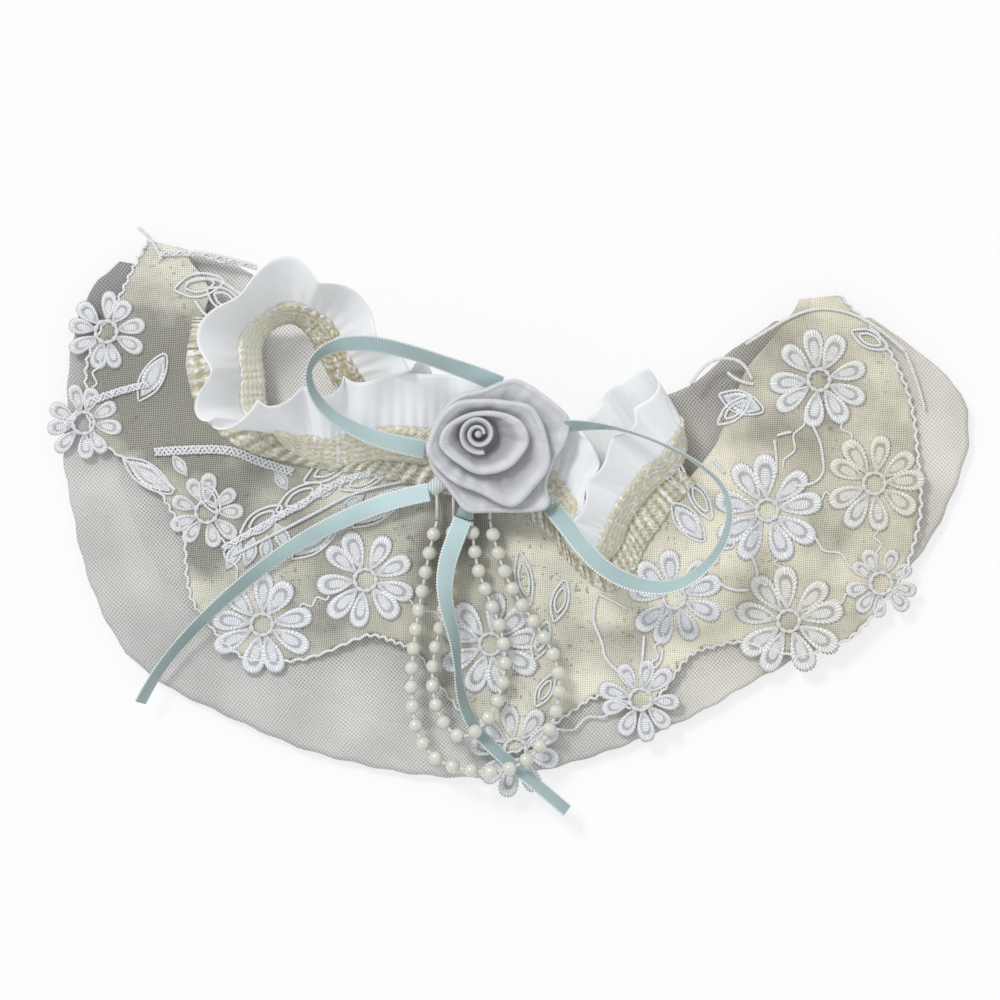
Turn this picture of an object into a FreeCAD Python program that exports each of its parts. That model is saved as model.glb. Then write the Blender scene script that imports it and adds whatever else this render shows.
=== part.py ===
import FreeCAD, Part
import math
import os

# A bridal garter laid on a table: an elastic band in a satin casing with a satin ruffle on its
# upper edge, a lace and tulle flounce on its lower edge, an organza ribbon rose, a ribbon bow and
# two loops of pearls. Millimetres, +Z up from the table, the flounce fans out towards -Y.

# Band, its elastic and its ruffle
BAND_WIDTH = 10.0
ELASTIC_WIDTH = 8.0
ELASTIC_THICKNESS = 0.6
CHANNEL_CLEARANCE = 0.15
CASING_WALL = 0.35
RUFFLE_WIDTH = 16.0
RUFFLE_THICKNESS = 0.7
RUFFLE_WAVES = 26
SEAM_LAP = 0.5
HEADING_SEAM_LAP = 0.2

# Tulle and lace net flounces
FAN_Y = 51.0
STATION_STEP = 4
TULLE_THICKNESS = 0.4
NET_THICKNESS = 0.5
FLOUNCE_LIFT = 2.6
FLOUNCE_RISE = 4.6
FLOUNCE_RADIUS = 127.0
DRAWN_RADIUS = 127.0
TULLE_FOLD = 0.3
TULLE_FOLDS = 13
NET_GAP = 0.6
NET_FOLD = 1.0
NET_FOLDS = 16
BACK_NET_THICKNESS = 0.4
BACK_NET_SHRINK = 4.0
BACK_TULLE_GAP = 1.1
HEADING_LAP = 2.0
HEADING_THICKNESS = 1.0
HEADING_CRINKLE = 0.4

# Lace motifs
MOTIF_THICKNESS = 0.75
MOTIF_SINK = 0.25
DAISY_PETALS = 8
DAISY_RING_BORE = 2.4
DAISY_RING = 3.6
LEAF_WIDTH = 5.0

# Rose, bow and pearls
ROSE_X = -6.0
ROSE_Y = 19.5
PETAL_THICKNESS = 0.45
PETAL_LOBE = 0.9
PETAL_SINK = 0.15
ROSE_BACKING_RADIUS = 11.5
ROSE_BACKING_THICKNESS = 1.5
KNOT_SIZE = 8.0
KNOT_SINK = 0.1
BOW_Z = 11.2
RIBBON_WIDTH = 5.2
RIBBON_THICKNESS = 0.5
ARM_GAP = 3.2
ANCHOR_GAP = 0.5
PEARL_DIAMETER = 4.0
PEARL_PITCH = 5.4
PEARL_BORE = 1.1
THREAD_DIAMETER = 0.8

# Band stations: middle of the band, direction across it to the upper edge, direction of the
# ruffle, and the height of the ruffle's waves there. They run along the near side from the rose
# round the leg ring, back under the flounce, and round the flat right end to the rose again.
BAND_STATIONS = [
    ((-4, 17, 8.5), (0, 1, 0), (0, 1, 0), 0.6),
    ((-20, 18, 8.9), (0, 1, 0.1), (0, 1, 0.06), 0.7),
    ((-35, 19, 11), (0, 0.9, 0.45), (0, 0.95, 0.3), 1.8),
    ((-50, 17, 12), (0, 0.7, 0.7), (0, 0.92, 0.4), 2.6),
    ((-61.5, 20, 12), (-0.2, 0.5, 0.84), (-0.4, 0.55, 0.7), 2.6),
    ((-70.5, 27, 12), (-0.58, -0.15, 0.78), (-0.72, -0.05, 0.66), 2.4),
    ((-72.1, 37, 12), (-0.62, 0, 0.78), (-0.56, 0, 0.8), 2.2),
    ((-72.4, 47, 12), (-0.5, 0.3, 0.81), (-0.56, 0.18, 0.78), 2.2),
    ((-68, 53.2, 12), (-0.3, 0.35, 0.88), (-0.3, 0.48, 0.8), 2.4),
    ((-60.5, 55.6, 12), (0, 0.5, 0.87), (0, 0.66, 0.74), 2.6),
    ((-53.8, 52.2, 11), (0.45, 0.5, 0.74), (0.35, 0.5, 0.75), 2.4),
    ((-49.4, 45, 10), (0.68, 0.35, 0.64), (0.62, 0.28, 0.6), 2.2),
    ((-44, 35, 8.5), (0.6, 0.4, 0.7), (0.75, 0.2, 0.44), 1.8),
    ((-32, 24, 5.8), (0.3, 0.85, 0.25), (0.3, 0.93, 0.12), 0.9),
    ((-21, 12, 4.3), (0, 1, 0), (0, 1, 0), 0.5),
    ((-4, 9.5, 4.2), (0, 1, 0), (0, 1, 0), 0.5),
    ((11, 7, 4.2), (0, 1, 0), (0, 1, 0), 0.5),
    ((22, 2.5, 4.2), (-0.3, 0.95, 0), (-0.3, 0.95, 0), 0.5),
    ((33, 10, 4.4), (-0.6, 0.8, 0), (-0.4, 0.9, 0.03), 0.7),
    ((41, 19, 5.2), (-0.5, 0.85, 0.1), (-0.58, 0.8, 0.08), 0.9),
    ((48, 22.5, 7.5), (-0.1, 0.8, 0.55), (-0.42, 0.85, 0.2), 1.4),
    ((45, 14.5, 10), (-0.4, 0.5, 0.76), (-0.55, 0.6, 0.35), 1.8),
    ((38, 8.5, 10.5), (-0.6, 0.25, 0.75), (-0.62, 0.35, 0.35), 1.3),
    ((31, -1, 10), (-0.6, 0.1, 0.78), (-0.5, 0.25, 0.35), 1.3),
    ((27.5, -9, 9.5), (-0.6, 0.2, 0.75), (-0.4, 0.2, 0.3), 1.2),
    ((23, -14, 9), (-0.1, 0.4, 0.9), (-0.4, 0.5, 0.3), 1.3),
    ((18.5, -9, 9), (0.3, 0.5, 0.8), (0, 0.75, 0.2), 1.1),
    ((14.5, 1, 9), (0.25, 0.9, 0.3), (0.35, 0.9, 0.12), 1.0),
    ((6, 11, 8.7), (0.1, 1, 0.1), (0.15, 0.98, 0.05), 0.7),
]
NEAR_STATIONS = (21, 38)
BACK_STATIONS = (12, 20)

# Edges of the flounces, as angle from straight down in degrees and distance from the fan's centre
# where the flounce is as wide as drawn
TULLE_ANGLES = (-100, 92)
NET_ANGLES = (-104, 96)
BACK_ANGLES = (-104, 92)
TULLE_HEM = [(-100, 110), (-97, 117), (-92, 121), (-86, 124), (-80, 126), (-74, 130.5), (-68, 132.5),
             (-62, 136), (-56, 139), (-50, 141), (-44, 139), (-38, 135), (-32, 132.5), (-26, 131),
             (-20, 129), (-10, 127), (0, 125), (10, 122), (19, 120), (34, 119.5), (41, 122),
             (46, 124.5), (52, 126.5), (58, 130), (64, 132), (76, 133), (82, 129), (88, 112), (92, 100)]
NET_HEM = [(-104, 104), (-94, 110), (-86, 119), (-76, 121), (-68, 108), (-58, 107), (-50, 117),
           (-39, 119), (-32, 109), (-25, 93), (-16, 93), (-9, 105), (0, 120), (7, 110), (14, 104),
           (19, 114), (29, 103), (37, 108), (41, 122), (48, 129), (58, 130), (66, 126), (72, 120),
           (80, 114), (88, 105), (96, 92)]
FLOUNCE_TOP = [(-104, 95), (-98, 84), (-92, 86), (-84, 89), (-75, 88), (-66, 80), (-58, 68),
               (-45, 54), (-30, 48), (-10, 45.5), (3, 47), (11, 56), (16, 69), (20, 76.5), (25, 76),
               (32, 69), (42, 65), (50, 65), (61, 66), (71, 65), (81, 67), (88, 73), (96, 82)]
BACK_TOP = [(-104, 84), (-100, 62), (-93, 48), (-67, 43), (-36, 33), (-8, 29), (25, 33), (45, 36),
            (64, 44), (73, 53), (85, 62), (94, 78)]
BACK_HEM = [(-104, 100), (-94, 112), (-76, 116), (-54, 120), (-20, 115), (0, 114), (25, 110),
            (41, 115), (60, 121), (78, 119), (94, 92)]

# Daisies on the lace: centre and diameter
FRONT_DAISIES = [((-113, 50.5), 22), ((-119.5, 25), 21), ((-85, 0), 21), ((-69.5, -31.5), 29),
                 ((-40.5, -19), 28), ((-5.5, -37), 29), ((1.5, -66.5), 26), ((36.5, -52.5), 23),
                 ((46, -24), 27), ((72, 0.5), 31), ((86.5, 37), 28), ((102, 8), 28),
                 ((78, -30.5), 31), ((104, -20), 20)]
BACK_DAISIES = [((-94, 20), 26), ((-62, -20), 28), ((-26, -42), 28), ((14, -40), 28),
                ((52, -22), 28), ((82, 12), 26)]
# Leaves on the lace: centre, direction in degrees and length
LEAVES = [((-36, 1.5), 35, 18), ((-54, -7.5), 38, 16), ((50, -3), -50, 13), ((65, 30.5), -20, 12),
          ((-100, 38), 60, 14), ((-101, 10), -35, 16)]

# Wraps of the rose: turns, radii of the foot, radii of the lip and heights of the lip at its two
# ends, lobes round it and the angle where it starts, in radians
BUD_WRAP = (2.0, (1.2, 4.0), (1.6, 5.4), (12.0, 11.0), 1, 0.0)
INNER_WRAP = (1.1, (5.2, 6.2), (9.0, 10.4), (9.5, 8.8), 3, 1.0)
MIDDLE_WRAP = (1.1, (7.2, 8.2), (13.4, 15.0), (7.0, 6.5), 4, 2.0)
OUTER_WRAP = (1.08, (9.4, 10.4), (17.0, 18.4), (4.0, 3.6), 5, 2.6)
WRAP_STEPS = 16

# Ribbon routes: points along the middle and the tilt of the ribbon's width from level, degrees
LOOP_LEFT = [(-2.8, 35.6, 11.8, 20), (-8.5, 38, 14.5, 30), (-16, 40.5, 20, 40), (-26, 43.8, 28, 40),
             (-37, 46.5, 30.5, 35), (-45.5, 46.6, 31.5, 40), (-52, 44.4, 32, 60),
             (-55.8, 39.5, 32, 75), (-54.8, 33.2, 30.5, 65), (-50.5, 27.6, 27.5, 50),
             (-44.5, 23.6, 23.5, 40), (-37, 20.4, 18.5, 30), (-30, 18.6, 14, 20),
             (-23.8, 17.4, 11.8, 10)]
LOOP_RIGHT = [(11.8, 1.1, 11.8, 10), (15.5, -3.5, 19.2, 15), (19.5, -9, 23, 20), (24.5, -14.5, 23.6, 25),
              (30.5, -18.4, 24, 30), (37.8, -20.8, 24, 40), (45.5, -20.8, 24, 50),
              (53, -16.5, 24, 60), (59, -9, 24, 65), (61.3, 0, 24, 70), (59, 7.5, 24, 70),
              (52.5, 13.3, 24.4, 70), (43.5, 18.3, 24.6, 70), (33.5, 22.2, 24.6, 70),
              (24, 24.3, 21.5, 65), (15.8, 24, 16.5, 40)]
TAIL_LEFT = [(-22.6, 5.6, 11.2, 0), (-31, 4, 11, 5), (-42, 0, 10.6, 8), (-53, -5, 10.2, 8),
             (-64.5, -12, 9.8, 8), (-75.5, -20.5, 9.4, 10), (-86.5, -30.5, 8.6, 10),
             (-96, -41, 7.4, 10), (-101.5, -49.5, 6.4, 8), (-103.5, -53.5, 6, 5)]
TAIL_DOWN = [(-13.2, -2, 13.6, 0), (-15.5, -8, 14.8, 0), (-17.6, -14, 15.2, 3), (-18.4, -21, 15.2, 8),
             (-17.4, -28, 14.8, 20), (-15.2, -35.5, 13.4, 45), (-14.6, -43, 12.4, 70),
             (-14, -49.5, 11.8, 60), (-12.4, -55.5, 10, 25), (-9.4, -61, 9.2, 3), (-3.6, -67.2, 9, 2),
             (3.6, -73, 9, 0), (10.2, -78.6, 8.8, 0), (16, -83.5, 8.6, 0)]
# Pearl strands: points along the threads
STRAND_OUTER = [(-20.4, -2.6, 11), (-22.2, -9.5, 10.9), (-24, -19.5, 10.8), (-26, -30.5, 10.6),
                (-27.3, -41.5, 10.4), (-27.6, -52, 10.2), (-26, -62, 10.2), (-21.5, -68.8, 10.4),
                (-14.5, -71.6, 11.8), (-5, -72.8, 13.4), (3.5, -70.6, 11.8), (10, -63.8, 10.2),
                (14, -52.5, 10.2), (13.4, -41.5, 10.4), (7.4, -31.5, 10.6), (0.8, -22.5, 10.8),
                (-3.6, -11.8, 10.9), (-5.6, -2.6, 11)]
STRAND_INNER = [(-15.8, -2.6, 11), (-16.6, -13.5, 10.9), (-18.4, -28, 10.7), (-21.4, -39.8, 10.5),
                (-21.8, -50, 10.3), (-19.6, -57.6, 10.3), (-14.6, -63.4, 12.4), (-8.6, -61, 12.4),
                (-3.4, -53.6, 10.3), (-1, -43.2, 10.5), (-2.4, -32, 10.7), (-7, -22, 10.8),
                (-10.2, -12, 10.9), (-10.6, -2.6, 11)]

Vector = FreeCAD.Vector


# Points, tables and curves
def edge_radius(table, angle):
    """Distance of a flounce's edge from the fan's centre at an angle, in straight steps."""
    size = FLOUNCE_RADIUS / DRAWN_RADIUS
    previous = table[0]
    for row in table[1:]:
        if angle <= row[0]:
            share = (angle - previous[0]) / (row[0] - previous[0])
            return (previous[1] + share * (row[1] - previous[1])) * size
        previous = row
    return previous[1] * size


def on_fan(angle, radius, z):
    """A point at an angle from straight down and a distance from the fan's centre."""
    turn = math.radians(angle)
    return Vector(radius * math.sin(turn), FAN_Y - radius * math.cos(turn), z)


def fan_place(x, y):
    """The angle and the distance of a point from the fan's centre."""
    return math.degrees(math.atan2(x, FAN_Y - y)), math.hypot(x, FAN_Y - y)


def tulle_under(angle, radius):
    """Height of the front tulle's underside."""
    share = radius / FLOUNCE_RADIUS
    fold = TULLE_FOLD * math.cos(math.radians(TULLE_FOLDS * angle)) * share
    return FLOUNCE_LIFT + FLOUNCE_RISE * (1 - share) + fold


def net_under(angle, radius):
    """Height of the front net's underside, clear of the tulle by the net's gap and its folds."""
    share = radius / FLOUNCE_RADIUS
    fold = NET_FOLD * (1 + math.cos(math.radians(NET_FOLDS * angle))) * share
    return tulle_under(angle, radius) + TULLE_THICKNESS + NET_GAP + fold


def net_top_at(x, y):
    """Height of the front net's upper face over a point."""
    angle, radius = fan_place(x, y)
    return net_under(angle, radius) + NET_THICKNESS


def loft(sections, closed=False):
    """One solid through straight-sided sections."""
    wires = [Part.makePolygon(section + [section[0]]) for section in sections]
    return Part.makeLoft(wires, True, True, closed)


def catmull(p0, p1, p2, p3, t):
    """A value on the smooth curve between the two middle ones of four."""
    a = p1 * 2.0
    b = (p2 - p0) * t
    c = (p0 * 2.0 - p1 * 5.0 + p2 * 4.0 - p3) * (t * t)
    d = (p1 * 3.0 - p0 - p2 * 3.0 + p3) * (t * t * t)
    return (a + b + c + d) * 0.5


def band_value(column, place):
    """A column of the band's stations, smoothed at any place round its loop."""
    count = len(BAND_STATIONS)
    first = int(math.floor(place))
    four = []
    for step in (-1, 0, 1, 2):
        value = BAND_STATIONS[(first + step) % count][column]
        four.append(Vector(*value) if column < 3 else value)
    return catmull(four[0], four[1], four[2], four[3], place - first)


def band_frame(place):
    """Middle, direction across and face direction of the band at a place on its loop."""
    middle = band_value(0, place)
    along = band_value(0, place + 0.05) - band_value(0, place - 0.05)
    across = band_value(1, place)
    face = along.cross(across)
    face.normalize()
    across = face.cross(along)
    across.normalize()
    return middle, across, face


def band_section(place, width, thickness):
    """The four corners of a strip centred in the band."""
    middle, across, face = band_frame(place)
    up = across * (width / 2)
    out = face * (thickness / 2)
    return [middle + up + out, middle + up - out, middle - up - out, middle - up + out]


def band_places(steps):
    """Even places round the band's loop."""
    count = len(BAND_STATIONS)
    return [count * step / steps for step in range(steps)]


# Band
CHANNEL_THICKNESS = ELASTIC_THICKNESS + 2 * CHANNEL_CLEARANCE
CHANNEL_WIDTH = ELASTIC_WIDTH + 2 * CHANNEL_CLEARANCE
CASING_THICKNESS = CHANNEL_THICKNESS + 2 * CASING_WALL
BAND_STEPS = 2 * len(BAND_STATIONS)


def elastic_core():
    places = band_places(BAND_STEPS)
    return loft([band_section(p, ELASTIC_WIDTH, ELASTIC_THICKNESS) for p in places], True)


def casing_section(place):
    """Satin folded over the elastic: a channel whose mouth is at the band's lower edge."""
    middle, across, face = band_frame(place)
    rim = BAND_WIDTH / 2
    wall = CASING_THICKNESS / 2
    channel = CHANNEL_THICKNESS / 2
    depth = CHANNEL_WIDTH / 2
    corners = [(rim, wall), (rim, -wall), (-rim, -wall), (-rim, -channel),
               (depth, -channel), (depth, channel), (-rim, channel), (-rim, wall)]
    return [middle + across * up + face * out for up, out in corners]


def band_casing():
    return loft([casing_section(place) for place in band_places(BAND_STEPS)], True)


def ruffle_section(place, phase):
    """A slice of the ruffle, from its gathered edge in the casing's seam to its waved free edge."""
    middle, across, face = band_frame(place)
    lean = band_value(2, place)
    wave = band_value(3, place) * math.sin(phase)
    gather = 0.25 * wave
    start = middle + across * (BAND_WIDTH / 2 - SEAM_LAP) + face * gather
    edge = middle + across * (BAND_WIDTH / 2) + lean * RUFFLE_WIDTH + face * wave
    out = face * (RUFFLE_THICKNESS / 2)
    return [start + out, start - out, edge - out, edge + out]


def satin_ruffle():
    steps = RUFFLE_WAVES * 4
    sections = []
    for step, place in enumerate(band_places(steps)):
        sections.append(ruffle_section(place, math.pi / 2 * step))
    return loft(sections, True)


def gathered_heading():
    """Gathered lace from the band's lower edge to the top of the front flounce."""
    sections = []
    first, last = NEAR_STATIONS
    for step in range(2 * (last - first) + 1):
        place = first + step / 2
        middle, across, face = band_frame(place)
        crinkle = HEADING_CRINKLE * (-1) ** step
        upper = middle - across * (BAND_WIDTH / 2 - HEADING_SEAM_LAP) + face * crinkle
        angle, radius = fan_place(upper.x, upper.y)
        inner = edge_radius(FLOUNCE_TOP, angle)
        foot = on_fan(angle, inner + HEADING_LAP, 0)
        low = Vector(foot.x, foot.y, tulle_under(angle, inner) + TULLE_THICKNESS / 2)
        high = Vector(foot.x, foot.y, net_under(angle, inner) + NET_THICKNESS + HEADING_CRINKLE)
        half = Vector(0, 0, HEADING_THICKNESS / 3)
        sections.append([upper - half, upper + half, high, low])
    return loft(sections)


def back_heading():
    """Gathered lace from the band's lower edge down into the back flounces."""
    sections = []
    first, last = BACK_STATIONS
    for step in range(2 * (last - first) + 1):
        place = first + step / 2
        middle, across, face = band_frame(place)
        upper = middle - across * (BAND_WIDTH / 2 - HEADING_THICKNESS)
        corners = band_section(place, BAND_WIDTH, CASING_THICKNESS)
        upper.z = min(corner.z for corner in corners) + HEADING_SEAM_LAP
        along = across.cross(face)
        side = Vector(along.y, -along.x, 0)
        side.normalize()
        side = side * (HEADING_THICKNESS / 2)
        foot = Vector(upper.x, upper.y, BACK_NET_THICKNESS / 2)
        sections.append([foot - side, foot + side, upper + side, upper - side])
    return loft(sections)


# Flounces
def fan_cloth(top, hem, angles, under, thickness):
    """A cloth between two edges of the fan, whose underside follows a height."""
    sections = []
    for angle in range(angles[0], angles[1] + 1, STATION_STEP):
        near = edge_radius(top, angle)
        far = edge_radius(hem, angle)
        z_near = under(angle, near)
        z_far = under(angle, far)
        sections.append([on_fan(angle, near, z_near), on_fan(angle, far, z_far),
                         on_fan(angle, far, z_far + thickness), on_fan(angle, near, z_near + thickness)])
    return loft(sections)


def back_cloth(shrink, z, thickness):
    """A flat cloth of the back flounces, drawn in a little at its hem."""
    angles = range(BACK_ANGLES[0], BACK_ANGLES[1] + 1, STATION_STEP)
    points = [on_fan(angle, edge_radius(BACK_TOP, angle), z) for angle in angles]
    for angle in reversed(angles):
        points.append(on_fan(angle, edge_radius(BACK_HEM, angle) - shrink, z))
    return Part.Face(Part.makePolygon(points + [points[0]])).extrude(Vector(0, 0, thickness))


# Lace motifs
def daisy(centre, diameter, height):
    """Satin-stitched petals round an open ring, following the cloth under them."""
    sections = []
    steps = DAISY_PETALS * 4
    for step in range(steps):
        turn = 2 * math.pi * step / steps
        petal = 0.5 + 0.5 * math.cos(DAISY_PETALS * turn)
        reach = DAISY_RING + 1.2 + (diameter / 2 - DAISY_RING - 1.2) * petal ** 0.6
        section = []
        for radius in (DAISY_RING_BORE, reach):
            x = centre[0] + radius * math.cos(turn)
            y = centre[1] + radius * math.sin(turn)
            section.append(Vector(x, y, height(x, y)))
        inner, outer = section
        raised = Vector(0, 0, MOTIF_THICKNESS)
        sections.append([inner, outer, outer + raised, inner + raised])
    return loft(sections, True)


def leaf(centre, direction, length, height):
    """A pointed oval that follows the cloth under it."""
    turn = math.radians(direction)
    along = Vector(math.cos(turn), math.sin(turn), 0)
    side = Vector(-math.sin(turn), math.cos(turn), 0)
    sections = []
    for share, fullness in ((-0.5, 0.15), (-0.3, 0.75), (0, 1), (0.3, 0.75), (0.5, 0.15)):
        middle = Vector(centre[0], centre[1], 0) + along * (length * share)
        left = middle + side * (LEAF_WIDTH / 2 * fullness)
        right = middle - side * (LEAF_WIDTH / 2 * fullness)
        left.z = height(left.x, left.y)
        right.z = height(right.x, right.y)
        raised = Vector(0, 0, MOTIF_THICKNESS)
        sections.append([left, right, right + raised, left + raised])
    return loft(sections)


def on_net(x, y):
    return net_top_at(x, y) - MOTIF_SINK


def on_table(x, y):
    return 0.0


# Rose
ROSE_BASE = BOW_Z + RIBBON_THICKNESS / 2 - 0.1 + ROSE_BACKING_THICKNESS


def rose_backing():
    middle = Vector(ROSE_X, ROSE_Y, ROSE_BASE - ROSE_BACKING_THICKNESS)
    return Part.makeCylinder(ROSE_BACKING_RADIUS, ROSE_BACKING_THICKNESS, middle)


def petal_wrap(turns, foot_radii, top_radii, top_heights, lobes, start):
    """A strip of folded ribbon wound round the rose, from its foot on the backing to its lip."""
    steps = int(turns * WRAP_STEPS)
    sections = []
    for step in range(steps + 1):
        share = step / steps
        turn = start + 2 * math.pi * turns * share
        out = Vector(math.cos(turn), math.sin(turn), 0)
        foot = foot_radii[0] + (foot_radii[1] - foot_radii[0]) * share
        top = top_radii[0] + (top_radii[1] - top_radii[0]) * share
        top = top + PETAL_LOBE * math.cos(lobes * turn)
        height = top_heights[0] + (top_heights[1] - top_heights[0]) * share
        middle = Vector(ROSE_X, ROSE_Y, ROSE_BASE - PETAL_SINK)
        low = middle + out * foot
        high = middle + out * top + Vector(0, 0, height)
        wall = out * PETAL_THICKNESS
        sections.append([low, low + wall, high + wall, high])
    return loft(sections)


# Ribbons and threads
def rounded(points, arc_steps):
    """Follow straight runs joined by tangent arcs, and return points with their place along it."""
    result = [(points[0], 0.0)]
    radii = []
    for i in range(1, len(points) - 1):
        before = points[i - 1] - points[i]
        after = points[i + 1] - points[i]
        shorter = min(before.Length, after.Length)
        trim = 0.45 * shorter
        before.normalize()
        after.normalize()
        half_turn = (math.pi - before.getAngle(after)) / 2
        radius = trim / math.tan(half_turn)
        radii.append(radius)
        start = points[i] + before * trim
        end = points[i] + after * trim
        to_centre = before + after
        to_centre.normalize()
        centre = points[i] + to_centre * (radius / math.cos(half_turn))
        for step in range(arc_steps + 1):
            share = step / arc_steps
            arm = (start - centre) * math.sin((1 - share) * 2 * half_turn)
            arm = arm + (end - centre) * math.sin(share * 2 * half_turn)
            arm = arm * (1 / math.sin(2 * half_turn))
            result.append((centre + arm, i - 0.45 + 0.9 * share))
    result.append((points[-1], len(points) - 1.0))
    return result, radii


def ribbon(name, route):
    """A flat ribbon along a route, its width turned by the tilt given at each point."""
    points = [Vector(row[0], row[1], row[2]) for row in route]
    path, radii = rounded(points, 3)
    print(name, "least radius", round(min(radii), 1), "length", round(path_length(path), 1))
    sections = []
    for i, (point, place) in enumerate(path):
        ahead = path[min(i + 1, len(path) - 1)][0]
        behind = path[max(i - 1, 0)][0]
        along = ahead - behind
        along.normalize()
        level = along.cross(Vector(0, 0, 1))
        level.normalize()
        rise = level.cross(along)
        first = min(int(place), len(route) - 2)
        tilt = route[first][3] + (route[first + 1][3] - route[first][3]) * (place - first)
        tilt = math.radians(tilt)
        across = level * math.cos(tilt) + rise * math.sin(tilt)
        face = along.cross(across)
        side = across * (RIBBON_WIDTH / 2)
        out = face * (RIBBON_THICKNESS / 2)
        sections.append([point + side + out, point - side + out, point - side - out, point + side - out])
    return loft(sections)


def path_length(path):
    total = 0.0
    for i in range(len(path) - 1):
        total += (path[i + 1][0] - path[i][0]).Length
    return total


def thread(name, route):
    """A round thread along straight runs joined by tangent arcs."""
    points = [Vector(*row) for row in route]
    path, radii = rounded(points, 2)
    print(name, "least radius", round(min(radii), 1), "length", round(path_length(path), 1))
    edges = []
    here = path[0][0]
    for i in range(1, len(path) - 1, 3):
        start, middle, end = (path[i + step][0] for step in range(3))
        edges.append(Part.LineSegment(here, start).toShape())
        edges.append(Part.Arc(start, middle, end).toShape())
        here = end
    edges.append(Part.LineSegment(here, path[-1][0]).toShape())
    spine = Part.Wire(edges)
    along = points[1] - points[0]
    section = Part.Wire(Part.Circle(points[0], along, THREAD_DIAMETER / 2).toShape())
    solid = spine.makePipeShell([section], True, False)
    expected = math.pi * THREAD_DIAMETER ** 2 / 4 * path_length(path)
    print(name, "volume", round(solid.Volume, 1), "section times length", round(expected, 1))
    return solid


def pearls(route):
    """Beads at an even pitch along a thread, each bored through along it."""
    path = rounded([Vector(*row) for row in route], 6)[0]
    bead = Part.makeSphere(PEARL_DIAMETER / 2)
    bore = Part.makeCylinder(PEARL_BORE / 2, 2 * PEARL_DIAMETER, Vector(0, 0, -PEARL_DIAMETER))
    bead = bead.cut(bore)
    beads = []
    total = path_length(path)
    count = int((total - PEARL_DIAMETER) / PEARL_PITCH) + 1
    wanted = (total - (count - 1) * PEARL_PITCH) / 2
    walked = 0.0
    for i in range(len(path) - 1):
        run = path[i + 1][0] - path[i][0]
        while len(beads) < count and walked + run.Length >= wanted:
            copy = bead.copy()
            middle = path[i][0] + run * ((wanted - walked) / run.Length)
            copy.Placement = FreeCAD.Placement(middle, FreeCAD.Rotation(Vector(0, 0, 1), run))
            beads.append(copy)
            wanted += PEARL_PITCH
        walked += run.Length
    return Part.makeCompound(beads)


# Bow
def arm(route_start, width):
    """A flat stay of ribbon from the knot to just short of a ribbon's or strand's start."""
    middle = Vector(ROSE_X, ROSE_Y, BOW_Z)
    end = Vector(route_start[0], route_start[1], BOW_Z)
    along = end - middle
    length = along.Length - ARM_GAP
    bar = Part.makeBox(length, width, RIBBON_THICKNESS, Vector(0, -width / 2, -RIBBON_THICKNESS / 2))
    bar.Placement = FreeCAD.Placement(middle, FreeCAD.Rotation(Vector(1, 0, 0), along))
    return bar


def bow_knot():
    half = KNOT_SIZE / 2
    middle = band_frame(0)[0]
    bottom = middle.z + CASING_THICKNESS / 2 - KNOT_SINK
    height = BOW_Z + RIBBON_THICKNESS / 2 - bottom
    knot = Part.makeBox(KNOT_SIZE, KNOT_SIZE, height, Vector(middle.x - half, middle.y - half, bottom))
    starts = [LOOP_LEFT[0], LOOP_LEFT[-1], LOOP_RIGHT[0], LOOP_RIGHT[-1], TAIL_LEFT[0]]
    for start in starts:
        knot = knot.fuse(arm(start, RIBBON_WIDTH * 0.8))
    anchor_left = STRAND_OUTER[0][0] - THREAD_DIAMETER
    anchor_right = STRAND_OUTER[-1][0] + THREAD_DIAMETER
    anchor_low = STRAND_OUTER[0][1] + ANCHOR_GAP
    anchor = Part.makeBox(anchor_right - anchor_left, ROSE_Y - anchor_low, RIBBON_THICKNESS,
                          Vector(anchor_left, anchor_low, BOW_Z - RIBBON_THICKNESS / 2))
    return knot.fuse(anchor).removeSplitter()


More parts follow.
